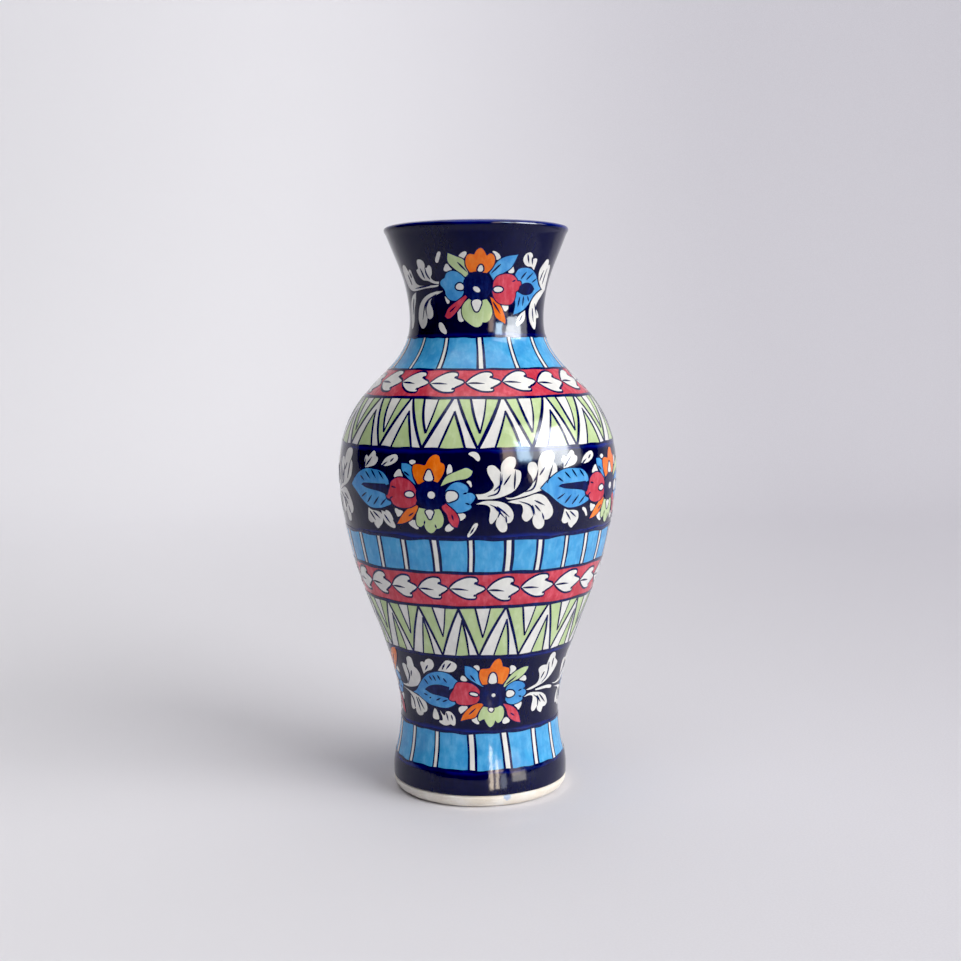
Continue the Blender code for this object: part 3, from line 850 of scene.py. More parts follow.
NECK = {
    "radius": 36.0,
    "orange": (
        ((-3, 274.3, 1), (-4.5, 277.5), (-4.4, 281), (-3, 283), (-0.7, 282.8, 1),
         (0.3, 284.8), (2, 285.9), (3.3, 284.8), (4.6, 282.2, 1), (6.3, 283.3), (8, 281.8),
         (8.3, 279), (7, 276), (5, 273.8, 1), (1.5, 274.2)),
        ((7, 262, 1), (9.5, 260.5), (12.5, 257.5), (14.5, 253.5), (15.4, 249.8),
         (15, 248.5, 1), (12.5, 250), (10, 252), (8.8, 256), (7.8, 259.5)),
    ),
    "blue": (
        ((-5.4, 271.3, 1), (-8, 274), (-11, 275), (-14, 274), (-15.3, 271.7, 1),
         (-17.5, 270.3), (-18, 268.5), (-16.5, 266.5), (-15.8, 265, 1), (-15.5, 263),
         (-13.5, 260.8), (-10, 260.4), (-7.5, 262), (-6, 264.8, 1)),
        ((18.8, 282.9, 1), (13, 281.7), (10, 279.8), (8, 277), (6.2, 273.8, 1),
         (8.3, 270.3, 1), (13, 274), (16.5, 276.6)),
        ((19.2, 273.3, 1), (20.8, 275.9), (25, 276.6), (29, 275.7), (32.2, 273.5),
         (34.8, 270.5), (37, 268), (39.8, 266.6, 1), (36.3, 265), (33.5, 263), (30.5, 259.3),
         (27, 256), (23, 254), (20, 253.2, 1), (21, 258), (20.5, 263), (22.4, 266)),
    ),
    "red": (
        ((8.4, 269.5, 1), (10, 272), (13.5, 273.3), (17.5, 273), (20.3, 271), (20.8, 270, 1),
         (22.8, 269.7), (23.4, 267.8), (22.2, 265.8), (20.5, 264.6, 1), (20.6, 262.5),
         (20, 260.5), (18.5, 258.6), (15, 258.2), (11.5, 259), (9, 261.5), (8, 264.5, 1)),
        ((-5.2, 263.1, 1), (-8.5, 260.8), (-14.5, 256.6), (-16.8, 252.5, 1), (-15, 251.3),
         (-12.5, 252.5), (-8.5, 256.8), (-4.4, 262.2, 1)),
    ),
    "green": (
        ((-3.6, 261.3, 1), (-6.3, 258.8), (-7.5, 255.5), (-6.6, 251.5), (-4, 249),
         (-1.5, 247.3), (0.5, 246.9), (2.4, 247.8), (3, 249.3, 1), (5, 249.3), (7, 250.8),
         (8.1, 254), (7.5, 257.5), (5.3, 260.8, 1), (0, 260.4)),
        ((-12.1, 283.8, 1), (-9, 282.2), (-5.4, 280.2), (-5.1, 277.2), (-3.8, 275, 1),
         (-4.3, 272), (-7, 273.8), (-10.8, 277), (-12.6, 279.8)),
    ),
    "white": (
        ((-15, 275.2), (-14.3, 277.8), (-13.2, 278.6), (-12, 276.8), (-11.3, 275.6)),
        ((-7.5, 281.5), (-6, 283.8), (-4, 284), (-4.9, 281.5), (-5.6, 280.9)),
        ((7, 284.3), (9, 283.8), (10.8, 281.6), (10, 280.3), (8.8, 280.5), (8, 283)),
        ((15.3, 274.5), (17, 277), (18.3, 275.2), (18, 274), (16, 273.9)),
        ((-16.3, 262.5), (-15.1, 258.8), (-13.8, 259.8), (-15.5, 262)),
        ((-9.8, 254), (-9, 250), (-6.6, 250.2), (-8, 256), (-9.5, 255.5)),
        ((13.3, 257.8), (16.9, 257.5), (15.2, 254.8)),
        ((-18.3, 279.3), (-17.5, 283), (-15.7, 284.6), (-16, 282)),
        ((-20.3, 249.2), (-18.5, 249.2), (-16.8, 247), (-15.6, 243.8), (-18, 244.2),
         (-20, 246.4)),
        ((-18.7, 269.9, 1), (-21.3, 270.3), (-23, 272), (-22, 274), (-21.7, 277),
         (-22.7, 278.3), (-24.2, 277), (-25.3, 277, 1), (-25.2, 279.8), (-26.8, 281.2),
         (-28.8, 281), (-29.6, 279), (-29.8, 276.9), (-31.3, 276), (-30.5, 273.3),
         (-28.5, 271.2), (-25, 270.5), (-22, 269.2), (-19, 268.7, 1)),
        ((-19, 268.3, 1), (-26, 268.2), (-32, 268.5), (-34.5, 270), (-35.5, 273),
         (-36.3, 276.5), (-37.5, 276.6), (-38.5, 275.5, 1), (-40.5, 279), (-42.5, 279.2),
         (-44.5, 277), (-45, 272), (-43, 268), (-39, 266), (-34, 266), (-28, 266.8),
         (-20, 267.5)),
        ((-17, 265.3, 1), (-22, 264.9), (-28, 263), (-33, 259.5), (-35.5, 255),
         (-35.6, 250.5), (-33, 247), (-30.8, 246.6), (-29, 248.5), (-28.2, 252, 1),
         (-26.3, 251.2), (-24.3, 252.7), (-24.3, 256), (-25.6, 259.5), (-23.6, 262.3),
         (-19, 264.2)),
        ((-36, 265.2, 1), (-41, 263), (-44.6, 258.5), (-45.6, 251.5), (-43.6, 246.5),
         (-41.2, 250), (-40.4, 256), (-37.6, 261)),
        ((46.5, 266, 1), (42, 266.3), (38.5, 268.3), (36, 271), (34.7, 274), (34.8, 276.5),
         (36.5, 279.5), (38.5, 281.5), (40.5, 280.8), (41.5, 278.5, 1), (43, 279),
         (45, 277.3), (46, 273)),
        ((46, 266.2, 1), (41, 266), (36.5, 264), (33, 261), (31.2, 257), (31, 252),
         (32.5, 248), (34.8, 245.8), (36.5, 246.5), (37.5, 249), (38, 251.5), (40.5, 251.8),
         (40, 254), (37, 257), (38.5, 260), (42, 263)),
        ((22, 281.5), (23, 283.5), (25, 284.2), (26.5, 283.3), (27.5, 281, 1), (29, 281.5),
         (30.3, 281), (30.4, 278), (30, 275.5, 1), (28, 277.2), (25, 277.5), (22.5, 279.5)),
        ((27.8, 255.3, 1), (24.5, 253.5), (22.5, 251), (22, 247.5), (24, 248), (27, 250),
         (28, 252.5)),
    ),
    "drops": (
        ((0.9, 274.8), (1, 276.5), (2.2, 277.8), (3.1, 276.8), (2.9, 274.8)),
        ((-6.3, 268), (-8, 269), (-9.8, 267.8), (-9.8, 266.3), (-8, 265.6), (-6.4, 266)),
        ((8.6, 266), (10, 267), (12.5, 266.7), (13.3, 265.6), (12, 264.6), (9.5, 264.6)),
        ((-1.8, 260.2), (-1.7, 257), (0.1, 254.7), (1.9, 257), (2.2, 260.2)),
    ),
    "slits": (
        ((22.6, 267.7, 1), (26, 269.3), (30, 268.9), (33.5, 266.3, 1), (31, 263.8),
         (26, 263.1), (22, 264.5, 1)),
    ),
    "discs": ((0.5, 267.2, 7.1, 7.5, 0.0),),
    "dots": ((0.2, 265.8, 1.9, 1.2, -35.0),),
    "strokes": (
        ((-8.3, 279.3), (-4, 274.3)), ((11.2, 278.2), (7, 273.6)),
        ((-14, 254.6), (-10.5, 257.5)), ((8.5, 259.5), (12.5, 253.5)),
        ((22.8, 271.2), (25.6, 274.8)), ((26.4, 270.8), (30, 274.4)), ((30.6, 269.6), (33.8, 271.6)),
        ((23.6, 262.2), (22.6, 257)), ((26, 262.4), (25.8, 257.6)), ((28.8, 262.6), (30.2, 259.8)),
        ((-38.5, 269), (-40.2, 274.5)), ((-37, 272.5), (-37.6, 275.4)),
        ((-23.6, 271.2), (-25.2, 274), (-25.3, 277.4)), ((-27, 271.8), (-28.4, 277)),
        ((-21, 263.8), (-29, 259), (-32, 251)), ((-26.3, 261), (-29, 257), (-28.4, 252.6)),
        ((-39.4, 262), (-42.8, 254)), ((-24.2, 268.2), (-36, 267)),
        ((37, 270.5), (38.4, 276)), ((40.5, 269), (41.5, 277)), ((33.6, 256.5), (34.8, 249.5)),
        ((35.5, 259), (38, 253)), ((23.8, 283.2), (25.6, 279)), ((26.8, 282), (28, 278.4)),
        ((23.6, 249.5), (25.8, 252.8)), ((19.8, 270.4), (17.8, 269.6)),
    ),
}
WAIST = {
    "radius": 45.0,
    "orange": (
        ((1.6, 65.1, 1), (0.2, 68.7), (0.2, 72.3), (1.1, 73.9), (3.9, 74.1), (5.1, 74.4, 1),
         (6.1, 76.6), (7.5, 78.7), (9.3, 79.4), (10.5, 77.6), (11.1, 75, 1), (13.2, 74.3),
         (14.4, 73.6), (14.5, 71.2), (13.6, 68), (11.8, 65.1, 1), (6.7, 65.6)),
        ((2.6, 54.8, 1), (-1.8, 54.6), (-5.7, 51.9), (-8.6, 48.7), (-10.4, 45, 1),
         (-7.5, 45.9), (-2.5, 47.3), (-0.4, 50.5), (1.2, 52.8)),
    ),
    "red": (
        ((-16.1, 56.4, 1), (-15.2, 59.1), (-13.2, 62.3), (-11.2, 65.9), (-8.9, 66.4),
         (-4.6, 66), (-1.8, 64.3), (0, 62.1, 1), (0.6, 59), (-0.4, 56.4, 1), (-1.8, 55),
         (-6.1, 53.9), (-10.4, 54), (-12, 54.7), (-12.5, 55.9, 1), (-14.3, 55.7)),
        ((12.7, 54.1, 1), (16.1, 53.1), (19.6, 50.9), (22.1, 47.3), (23.2, 43, 1),
         (19.6, 44.1), (16.1, 46.9), (14.6, 50.9)),
    ),
    "green": (
        ((1.8, 53.1, 1), (0.4, 50.5), (-0.7, 47.3), (-0.2, 45.3), (1.4, 45.9), (2.6, 46.3, 1),
         (3.8, 43.9), (5.7, 41.9), (7.5, 43), (8.6, 45.4, 1), (10, 44), (11.8, 44.8),
         (13.1, 47.3), (13.4, 49.8), (12.5, 52.3), (11.4, 53.1, 1), (6.6, 52.4)),
        ((24.5, 73.6, 1), (21.8, 73.4), (17.5, 71.2), (14.6, 68), (12.5, 64.3),
         (12.5, 63.1, 1), (15.7, 65.5), (20.4, 67.6), (23.2, 70.1), (24.5, 72.6)),
    ),
    "blue": (
        ((13.8, 62.3, 1), (15, 64.6), (17.9, 65.9), (21.4, 65.5), (23.9, 63.9),
         (24.3, 62.1), (23.2, 61.4, 1), (25, 60.3), (25.5, 59.1), (24.8, 57.6),
         (23.6, 56.9, 1), (23.6, 55.3), (21.6, 54), (18.6, 53.4), (15.5, 54.1),
         (13.9, 55.9, 1), (13.7, 59)),
        ((-6.6, 75.6, 1), (-3.9, 75), (-0.9, 72.4), (-0.4, 69.1), (0.9, 66.2),
         (2.4, 63.6, 1), (-3.4, 67.2), (-6.4, 70.1), (-6.8, 73)),
        ((-40.2, 57.1, 1), (-37.1, 58.7), (-33.9, 62.3), (-30.4, 66.2), (-26.8, 69.1),
         (-22.5, 70.9), (-18.2, 71.4), (-14.6, 70.3), (-12.1, 67.9), (-10.7, 66.4),
         (-12.5, 63.4, 1), (-16.4, 61), (-17.1, 57.1), (-15.4, 56.2), (-12.9, 54.6),
         (-14.3, 53.1), (-18.2, 51.6), (-23.2, 51.6), (-28.9, 52.6), (-33.2, 54.8),
         (-36.8, 56.7)),
    ),
    "white": (
        ((-2.5, 75.5), (-0.7, 76), (0.2, 74.8), (-0.2, 73.1), (-1.8, 74.4)),
        ((-9.1, 67.6), (-8.9, 69.4), (-7.9, 70.1), (-6.4, 68.7), (-6.2, 67.1)),
        ((15, 70.5), (15, 74.8), (16.8, 74.8), (18.1, 73), (16.8, 71.2)),
        ((20.7, 66.9), (23.2, 68.7), (24.5, 67.3), (24.3, 65.7), (22.5, 65.9)),
        ((-10.9, 52.3), (-6.4, 52.9), (-8.9, 49.8), (-10.4, 49.1)),
        ((-4.3, 46.2), (-1.8, 47.3), (-0.2, 43.9), (-1.8, 43.7)),
        ((12.7, 43.7), (14.3, 46.6), (16.8, 44.8), (16.1, 43.6)),
        ((19.3, 53), (23.2, 54.1), (22.1, 50), (20.7, 51.2)),
        ((-52.5, 60.4, 1), (-48.2, 60), (-44.6, 61), (-43.6, 62.3), (-44.3, 65.5),
         (-45, 68.7), (-45, 71.2), (-43.8, 72.4), (-42.1, 72.1), (-41.1, 71, 1),
         (-39.9, 73.4), (-39.3, 76), (-37.5, 77.4), (-35.7, 76.9), (-35.2, 74.4),
         (-35.2, 72.1, 1), (-33.6, 71), (-32.1, 68.4), (-32.6, 64.8), (-35, 61.9),
         (-38.9, 60.3), (-44.6, 59.3), (-50.4, 59.6)),
        ((-50, 57.9, 1), (-45.7, 56.9), (-43.6, 55.5), (-43.8, 52.3), (-44.3, 49.6),
         (-43.6, 47.5), (-41.8, 47.3), (-40.2, 48.4, 1), (-39.6, 46.2), (-37.5, 44.9),
         (-34.5, 45.5), (-33.8, 46.9, 1), (-31.4, 48), (-30.6, 50.5), (-31.8, 53.4),
         (-35, 55.1), (-39.3, 56.4), (-44.6, 57.4)),
        ((-29.3, 69.1, 1), (-29.8, 72.3), (-30, 75.1), (-28.6, 76), (-27.5, 75.5, 1),
         (-26.1, 77.4), (-23.9, 78.1), (-22.4, 76.9), (-22.4, 74.4), (-23.9, 72.3),
         (-26.8, 70.9)),
        ((-20.4, 72.1, 1), (-18.2, 75.1), (-16.8, 76.9), (-15.4, 78.1), (-13.2, 77.9),
         (-10.7, 76.2), (-11.1, 73.7), (-13.2, 71.9), (-16.1, 71.7)),
        ((-25.4, 50.5), (-23.9, 48.7), (-23, 45.1), (-23.9, 44.6), (-26.8, 45.1),
         (-26.9, 47.3), (-26.1, 49.8)),
        ((-22.1, 49.6, 1), (-19.6, 47.3), (-18.5, 49.4), (-16.1, 49.6), (-13.8, 47.4),
         (-13.2, 44.8), (-13.9, 42.4), (-16.2, 42.9, 1), (-18.6, 42), (-21, 42.4),
         (-23.1, 43.9), (-20.8, 44.7)),
    ),
    "drops": (
        ((5, 66), (4.9, 69), (5.6, 71), (6.8, 71.7), (8, 70.5), (8.6, 68), (8.4, 66)),
        ((-4.9, 60.3), (-3.2, 60.9), (-0.9, 60), (-0.9, 59.1), (-2.9, 59.1)),
        ((5, 51.9), (7.4, 51.9), (6.4, 50.1)),
        ((14.4, 60.9), (17.1, 61.1), (18.6, 59.4), (17.5, 57.9), (14.6, 57.9)),
    ),
    "slits": (
        ((-15.4, 63.3, 1), (-20.4, 64.1), (-24.6, 63.6), (-28.2, 62.1), (-30.4, 60.3, 1),
         (-26.8, 58.6), (-21.8, 57.9), (-16.5, 57, 1)),
    ),
    "discs": ((7.0, 59.1, 7.1, 7.1, 0.0),),
    "dots": ((7.3, 59.2, 1.0, 1.0, 0.0),),
    "strokes": (
        ((-4.3, 70.5), (-1.8, 66.9)), ((13.6, 64.8), (18.9, 69.1)),
        ((-5.7, 48.7), (-1.8, 52.3)), ((17.1, 48.7), (19.6, 46.9)),
        ((-29.6, 66.2), (-27.5, 63.4)), ((-26.1, 68.4), (-24.8, 65.9)),
        ((-23.9, 69.1), (-22.5, 65.9)), ((-21.1, 69.4), (-20, 66.6)),
        ((-18.2, 68), (-16.4, 65.5)), ((-31.5, 57.8), (-29, 57.2)),
        ((-28.2, 55.8), (-26.8, 56.4)), ((-23.9, 55.1), (-21, 56.6)),
        ((-20, 54.8), (-16.8, 56.2)), ((-37.9, 69.4), (-39.3, 65.9)),
        ((-38.2, 54.8), (-35.7, 47.3)), ((-36.8, 54.8), (-32.9, 48.7)),
        ((-25.7, 74.4), (-27.9, 71.2)), ((-16.4, 76.2), (-18.2, 72.6)),
        ((-13.2, 76.9), (-16.1, 73)),
        ((-41.2, 71.4), (-40.6, 66.4), (-44, 60.6)), ((-40.3, 48.6), (-41.4, 53.4), (-45, 56.8)),
        ((-18.4, 48.8), (-17.4, 44.6)), ((-15.6, 48), (-14.8, 45)),
        ((22.6, 61.2), (20.6, 60.4)), ((23, 57), (21, 57.6)),
    ),
}
WAIST_SPRAY = {
    "radius": 45.0,
    "white": (
        ((25.4, 60.3, 1), (29.3, 61.7), (32.1, 62.9), (33.1, 64.8), (32.9, 67.6),
         (31.6, 70.5), (32.1, 71.7), (33.9, 72.5), (36.8, 72.3, 1), (37.5, 75.3),
         (38.1, 77.4), (39.8, 78.6), (41.9, 77.6), (42.5, 75.1), (43.9, 73.9),
         (45.9, 72.1), (45.7, 70), (43.9, 67.1), (41.1, 64.6), (36.8, 62.3), (32.5, 61.1),
         (27.9, 60)),
        ((24.6, 56.4, 1), (28.2, 56.9), (30.4, 56), (30.8, 53.7), (30.4, 50.9),
         (30.4, 48.7), (31.4, 47.6), (32.9, 48), (34.6, 50, 1), (34.9, 48), (36.4, 46.6),
         (38.2, 46), (39.1, 47.3), (39.6, 48.6, 1), (41.8, 48.7), (43.3, 49.9),
         (42.8, 51.9), (40.4, 54.8), (36.8, 56.9), (31.8, 58), (27.9, 58.2)),
        ((31.8, 59.7), (40, 60.3), (45.4, 59.2), (45.2, 57.9), (40, 58.7), (32, 59)),
    ),
    "strokes": (
        ((36.1, 68.7), (34.3, 65.1)), ((38.2, 73.5), (38.8, 66.5), (35.4, 62.6)),
        ((34.8, 49.8), (34.4, 54), (30.6, 57)), ((41, 75.2), (41.6, 70)),
        ((33.6, 55.9), (37.1, 51.6)), ((35.4, 56.2), (41.1, 50.9)),
    ),
}
BELLY_LEAF = {
    "radius": 70.0,
    "white": (
        ((-50.4, 156.4, 1), (-47, 155.4), (-44, 152.4), (-42.4, 148.4), (-44.8, 148.2),
         (-48, 150), (-50, 153)),
    ),
    "strokes": (((-48.6, 154.4), (-45.2, 150.2)),),
}
WAIST_LEAF = {
    "radius": 45.0,
    "orange": (
        ((13, 64, 1), (13.4, 68), (16.5, 72.5), (20.5, 76.5), (25, 79.6), (29, 80.4, 1),
         (28.2, 76.5), (25.6, 72.8), (20.5, 68), (16, 65)),
    ),
    "strokes": (((17, 69), (23.5, 75.5)),),
}


COLOUR_LAYERS = {"white": 1.0, "blue": 1.5, "green": 2.0, "orange": 2.5, "red": 3.0}
UNDER = 0.3            # an outline lies this many layers under its colour
BRUSH_LAYER = 3.7      # strokes, slits and discs in cobalt
DROP_LINE_LAYER = 3.9
DROP_LAYER = 4.3       # white drops and dots on top
PETAL_LINE = 0.55      # width of the cobalt line round a petal
DROP_LINE = 0.65       # width of the one round a drop
BRUSH = 0.85           # width of a stroke


def paint_flowers(name, motif, places):
    """A floral band: each colour's films, then the cobalt drawn over them."""
    films = {}
    for colour, layer in COLOUR_LAYERS.items():
        films[colour] = [(outline(points), layer) for points in motif.get(colour, ())]
    ink = [(shape, layer - UNDER, PETAL_LINE)
           for colour in ("blue", "green", "orange", "red") for shape, layer in films[colour]]
    drops = [outline(points, 0.4) for points in motif.get("drops", ())]
    films["white"] += [(grown(shape, -0.05), DROP_LAYER) for shape in drops]
    films["white"] += [(oval(*values), DROP_LAYER) for values in motif.get("dots", ())]
    ink += [(shape, DROP_LINE_LAYER, DROP_LINE) for shape in drops]
    ink += [(outline(points), BRUSH_LAYER) for points in motif.get("slits", ())]
    ink += [(oval(*values), BRUSH_LAYER) for values in motif.get("discs", ())]
    ink += [(stroke(points, BRUSH), BRUSH_LAYER) for points in motif["strokes"]]
    films["ink"] = ink
    for colour, shapes in films.items():
        if shapes:
            painted(f"{name}_{colour}", shapes, places, motif["radius"], colour)


# ------------------------------------------------------------- small bands

AROUND = math.tau * BAND_RADIUS     # once round the vase, unrolled


def spread(known, pitch):
    """Known places round a band, carried on at about the pitch to close it."""
    known = sorted(known)
    gap = AROUND - (known[-1] - known[0])
    count = round(gap / pitch)
    more = [known[-1] + gap * (i + 1) / count for i in range(count - 1)]
    return [(x, 0) for x in known] + [(x, 1) for x in more]


def bow(half_width, low, high, lean=0.0):
    """Upright strip outline with slightly bowed hand-drawn sides."""
    middle = (low + high) / 2
    return outline(((-half_width, low, 1), (half_width, low, 1),
                    (half_width * 1.1 + lean, middle), (half_width, high, 1),
                    (-half_width, high, 1), (-half_width * 0.9 + lean, middle)), 1.2)


def paint_strips(name, low, high, strips, pitch, white, line):
    """White strips between cobalt lines that part a sky band into panels."""
    known = {x: width for x, width, _ in strips}
    lean = {x: tilt for x, _, tilt in strips}
    places = []
    rng = np.random.default_rng(11)
    for x, hidden in spread(known, pitch):
        width = known.get(x, white * rng.uniform(0.7, 1.4))
        tilt = lean.get(x, rng.uniform(-2.5, 2.5))
        places.append((x, (low + high) / 2, tilt, 0.45 + 0.55 * width / white, 1.0, hidden))
    half = (high - low) / 2
    lines = [(bow(0.4 * white + line, -half - 0.3, half + 0.3, 0.15), 1)]
    inner = [(bow(0.4 * white, -half, half, 0.1), 2)]
    painted(name + "_lines", lines, places, BAND_RADIUS, "ink", looseness=1.5, seed=3)
    painted(name + "_strips", inner, places, BAND_RADIUS, "white", looseness=1.5, seed=3)


# One leaf of a chain, its stem to the left, for a repeat of LEAF_PITCH
LEAF = ((0.3, 0.1, 1), (3.5, 2.5), (8.5, 4.5), (12.5, 4.9), (15.3, 4.0), (14.3, 1.9, 1),
        (16, 1.3), (18.7, 0.5), (19.4, -0.1, 1), (17.5, -1.1), (15, -2.1), (13.6, -3.3, 1),
        (14.5, -3.9), (13, -4.4), (8.5, -4.1), (3.5, -2.1))
LEAF_VEIN = ((1.0, -0.2), (6.0, -0.3), (10.5, -0.7))
LEAF_PITCH = 20.7


def paint_chain(name, known, pitch, height, tall):
    """Chain of pale leaves, each nibbling the tail of the one before it."""
    spots = spread(known, pitch)
    places = []
    rng = np.random.default_rng(5)
    for i, (x, hidden) in enumerate(spots):
        following = spots[i + 1][0] if i + 1 < len(spots) else spots[0][0] + AROUND
        stretch = (following - x) / LEAF_PITCH
        places.append((x, height + rng.uniform(-0.5, 0.5), rng.uniform(-1.5, 1.5),
                       stretch, tall * rng.uniform(0.94, 1.04), hidden))
    leaf = outline(LEAF, 0.5)
    hooks = [stroke(((13.6, 2.2), (15.4, 3.1)), 1.1), stroke(((13.2, -3.4), (14.8, -2.7)), 1.1)]
    ink = [(grown(leaf, 0.9), 1), (stroke(LEAF_VEIN, 0.9), 3)] + [(hook, 3) for hook in hooks]
    painted(name + "_leaves", [(leaf, 2)], places, BAND_RADIUS, "white", looseness=1.0, seed=7)
    painted(name + "_outlines", ink, places, BAND_RADIUS, "ink", looseness=1.0, seed=7)


def paint_zigzag(name, known, pitch, lines, whites):
    """Zigzag of cobalt lines and white stripes over a green band."""
    spots = spread(known, pitch)
    places = []
    for i, (x, _) in enumerate(spots):
        following = spots[i + 1][0] if i + 1 < len(spots) else spots[0][0] + AROUND
        places.append((x, 0.0, 0.0, (following - x) / pitch, 1.0, 0))
    ink = [(stroke(points, width, 0.8, 0.8, 1.2), 2) for points, width in lines]
    pale = [(outline([(*point, 1) for point in points], 1.2), 1) for points in whites]
    painted(name + "_stripes", pale, places, BAND_RADIUS, "white")
    painted(name + "_lines", ink, places, BAND_RADIUS, "ink")


HEM_POINTS = 181       # points along a line that runs once round


def hem(level, width, waver, waves, seed):
    """Wavering brush line once round the vase, unrolled."""
    rng = np.random.default_rng(seed)
    x = np.linspace(-math.pi, math.pi, HEM_POINTS)
    ways = [(n, rng.uniform(0, math.tau), rng.uniform(0.3, 1.0)) for n in waves]
    top = sum(size * np.sin(n * x + turn) for n, turn, size in ways)
    low = sum(size * np.sin(n * x + turn + 1.1) for n, turn, size in ways)
    strength = waver / sum(size for _, _, size in ways)
    upper = np.stack([x * BAND_RADIUS, level + width / 2 + strength * top], 1)
    lower = np.stack([x * BAND_RADIUS, level - width / 2 + strength * low], 1)
    return np.concatenate([lower, upper[::-1]])


# Height, width and waver of each cobalt line between bands, and of the cobalt's edges
DRAWN_LINES = ((225.8, 0.9, 0.3), (212.1, 1.3, 0.35), (126.2, 1.5, 0.5), (108.1, 1.6, 0.4))
ROUGH_EDGES = ((242.2, 1.2, 0.4), (187.8, 1.2, 0.45), (143.6, 1.6, 0.7), (80.8, 1.4, 0.5),
               (38.9, 1.3, 0.5), (19.4, 1.3, 0.5))


def paint_hems():
    """Cobalt lines between the bands, and the cobalt's uneven edges."""
    lines = [(hem(z, w, v, (5, 9, 14, 23), i), 3) for i, (z, w, v) in enumerate(DRAWN_LINES)]
    rough = [(hem(z, w, v, (7, 12, 19, 31), i), 3)
             for i, (z, w, v) in enumerate(ROUGH_EDGES, start=9)]
    once = [(0.0, 0.0, 0.0, 1.0, 1.0, 0)]
    painted("band_lines", lines, once, BAND_RADIUS, "ink")
    painted("cobalt_edges", rough, once, BAND_RADIUS, "ink")


# ------------------------------------------------------------------ the vase

PAINTING = painting_tree()
GUIDE = guide_wall()

clay_wall()
white_lining()
for ring, glaze_name in (
        ("foot_cobalt_glaze", "cobalt"), ("foot_sky_band", "sky"),
        ("waist_cobalt_glaze", "cobalt"), ("lower_green_band", "green"),
        ("lower_red_band", "red"), ("middle_sky_band", "sky"),
        ("belly_cobalt_glaze", "cobalt"), ("upper_green_band", "green"),
        ("upper_red_band", "red"), ("upper_sky_band", "sky")):
    glaze_ring(ring, glaze_name)
neck_ring("neck_cobalt_glaze", "cobalt")

# Degrees round from the front at which a motif is painted
BELLY_TURNS = (0.0, 84.85, 176.5, -91.7)
NECK_TURNS = (0.0, 180.0)
WAIST_TURNS = (0.0, 125.0, -96.9)


def round_the_vase(motif, turns):
    """Places of a motif that is painted at some turns, neither tilted nor stretched."""
    return [(math.radians(turn) * motif["radius"], 0.0, 0.0, 1.0, 1.0, 0) for turn in turns]


paint_flowers("belly", BELLY, round_the_vase(BELLY, BELLY_TURNS))
paint_flowers("belly_leaf", BELLY_LEAF, round_the_vase(BELLY_LEAF, BELLY_TURNS[:1]))
paint_flowers("neck", NECK, round_the_vase(NECK, NECK_TURNS))
paint_flowers("waist", WAIST, round_the_vase(WAIST, WAIST_TURNS))
paint_flowers("waist_spray", WAIST_SPRAY, round_the_vase(WAIST_SPRAY, WAIST_TURNS[:2]))
paint_flowers("waist_leaf", WAIST_LEAF, round_the_vase(WAIST_LEAF, WAIST_TURNS[2:]))

# (across, width of the white, tilt) of each strip on the front
paint_strips("upper_sky", 225.8, 242.2,
             ((-48.6, 1.8, 2), (-25.2, 2.5, 0), (2.5, 4.2, -2), (27.3, 2.0, 0), (51.7, 3.4, 2)),
             25.0, 2.6, 1.3)
paint_strips("middle_sky", 126.1, 143.6,
             ((-61, 1.7, 0), (-47.3, 1.6, 1), (-33.4, 1.6, 0), (-18.4, 2.6, -2),
              (-3.2, 1.6, 1), (12.8, 2.9, 1), (26.9, 2.2, 1), (40.7, 1.2, 0), (53.3, 1.8, -1),
              (66, 1.8, 0)), 14.4, 1.9, 1.05)
paint_strips("foot_sky", 19.4, 38.9,
             ((-55.3, 2.7, 0), (-32.3, 2.4, -1), (-5.7, 4.7, -4), (18.7, 4.7, -6),
              (42.4, 3.3, 0), (62.4, 2.9, 0)), 23.6, 3.2, 1.35)
paint_chain("upper_chain", (-47, -27, -6, 14.5, 36, 56.5), 20.9, 219.3, 1.0)
paint_chain("lower_chain", (-60, -44.5, -29, -13.5, 4, 20, 38, 56.5), 16.4, 117.7, 1.2)

# A zigzag repeat runs from one V's tip to the next: its lines with their widths, then
# its white stripes
paint_zigzag(
    "upper_zigzag", (-44.5, -23, 0.3, 23, 45.5), 22.6,
    ((((-9.7, 212.2), (-5.2, 201), (-0.3, 188.2)), 1.4),
     (((-3.3, 212.2), (-1.5, 203), (0.9, 195.2)), 1.25),
     (((0.9, 195.2), (2.9, 204), (4.2, 212.2)), 0.8),
     (((0.1, 188.2), (5.2, 199.5), (11.2, 212.2)), 1.6),
     (((6.8, 187.8), (9.8, 197), (12.5, 205.4)), 1.0),
     (((12.4, 205.8), (15.3, 197), (17.6, 187.8)), 1.25)),
    (((-3.3, 212.3), (0.9, 195.2), (4.2, 212.3)),
     ((0.2, 188), (6.8, 187.9), (12.5, 205.4), (17.6, 187.9), (22.2, 188), (12.9, 212.3),
      (11.2, 212.3))))
paint_zigzag(
    "lower_zigzag", (-43, -22, 0, 24, 47.5), 22.6,
    ((((-9.6, 107.6), (-5.0, 94.5), (-0.2, 81.2)), 1.5),
     (((-1.6, 107.8), (0.2, 99), (2.0, 91.4)), 1.1),
     (((2.0, 91.4), (3.9, 99), (5.5, 107.8)), 0.8),
     (((0.1, 81.2), (6.0, 94), (12.6, 107.6)), 1.4),
     (((8.2, 81), (11.2, 91.5), (13.8, 101)), 1.0),
     (((13.7, 101.4), (15.4, 92), (16.6, 81)), 1.2)),
    (((-1.6, 107.8), (2.0, 91.5), (5.5, 107.8)),
     ((0.2, 81), (8.2, 81), (13.8, 101), (16.6, 81), (22.4, 81), (13.0, 107.8),
      (12.6, 107.8))))
paint_hems()
bpy.data.objects.remove(GUIDE)

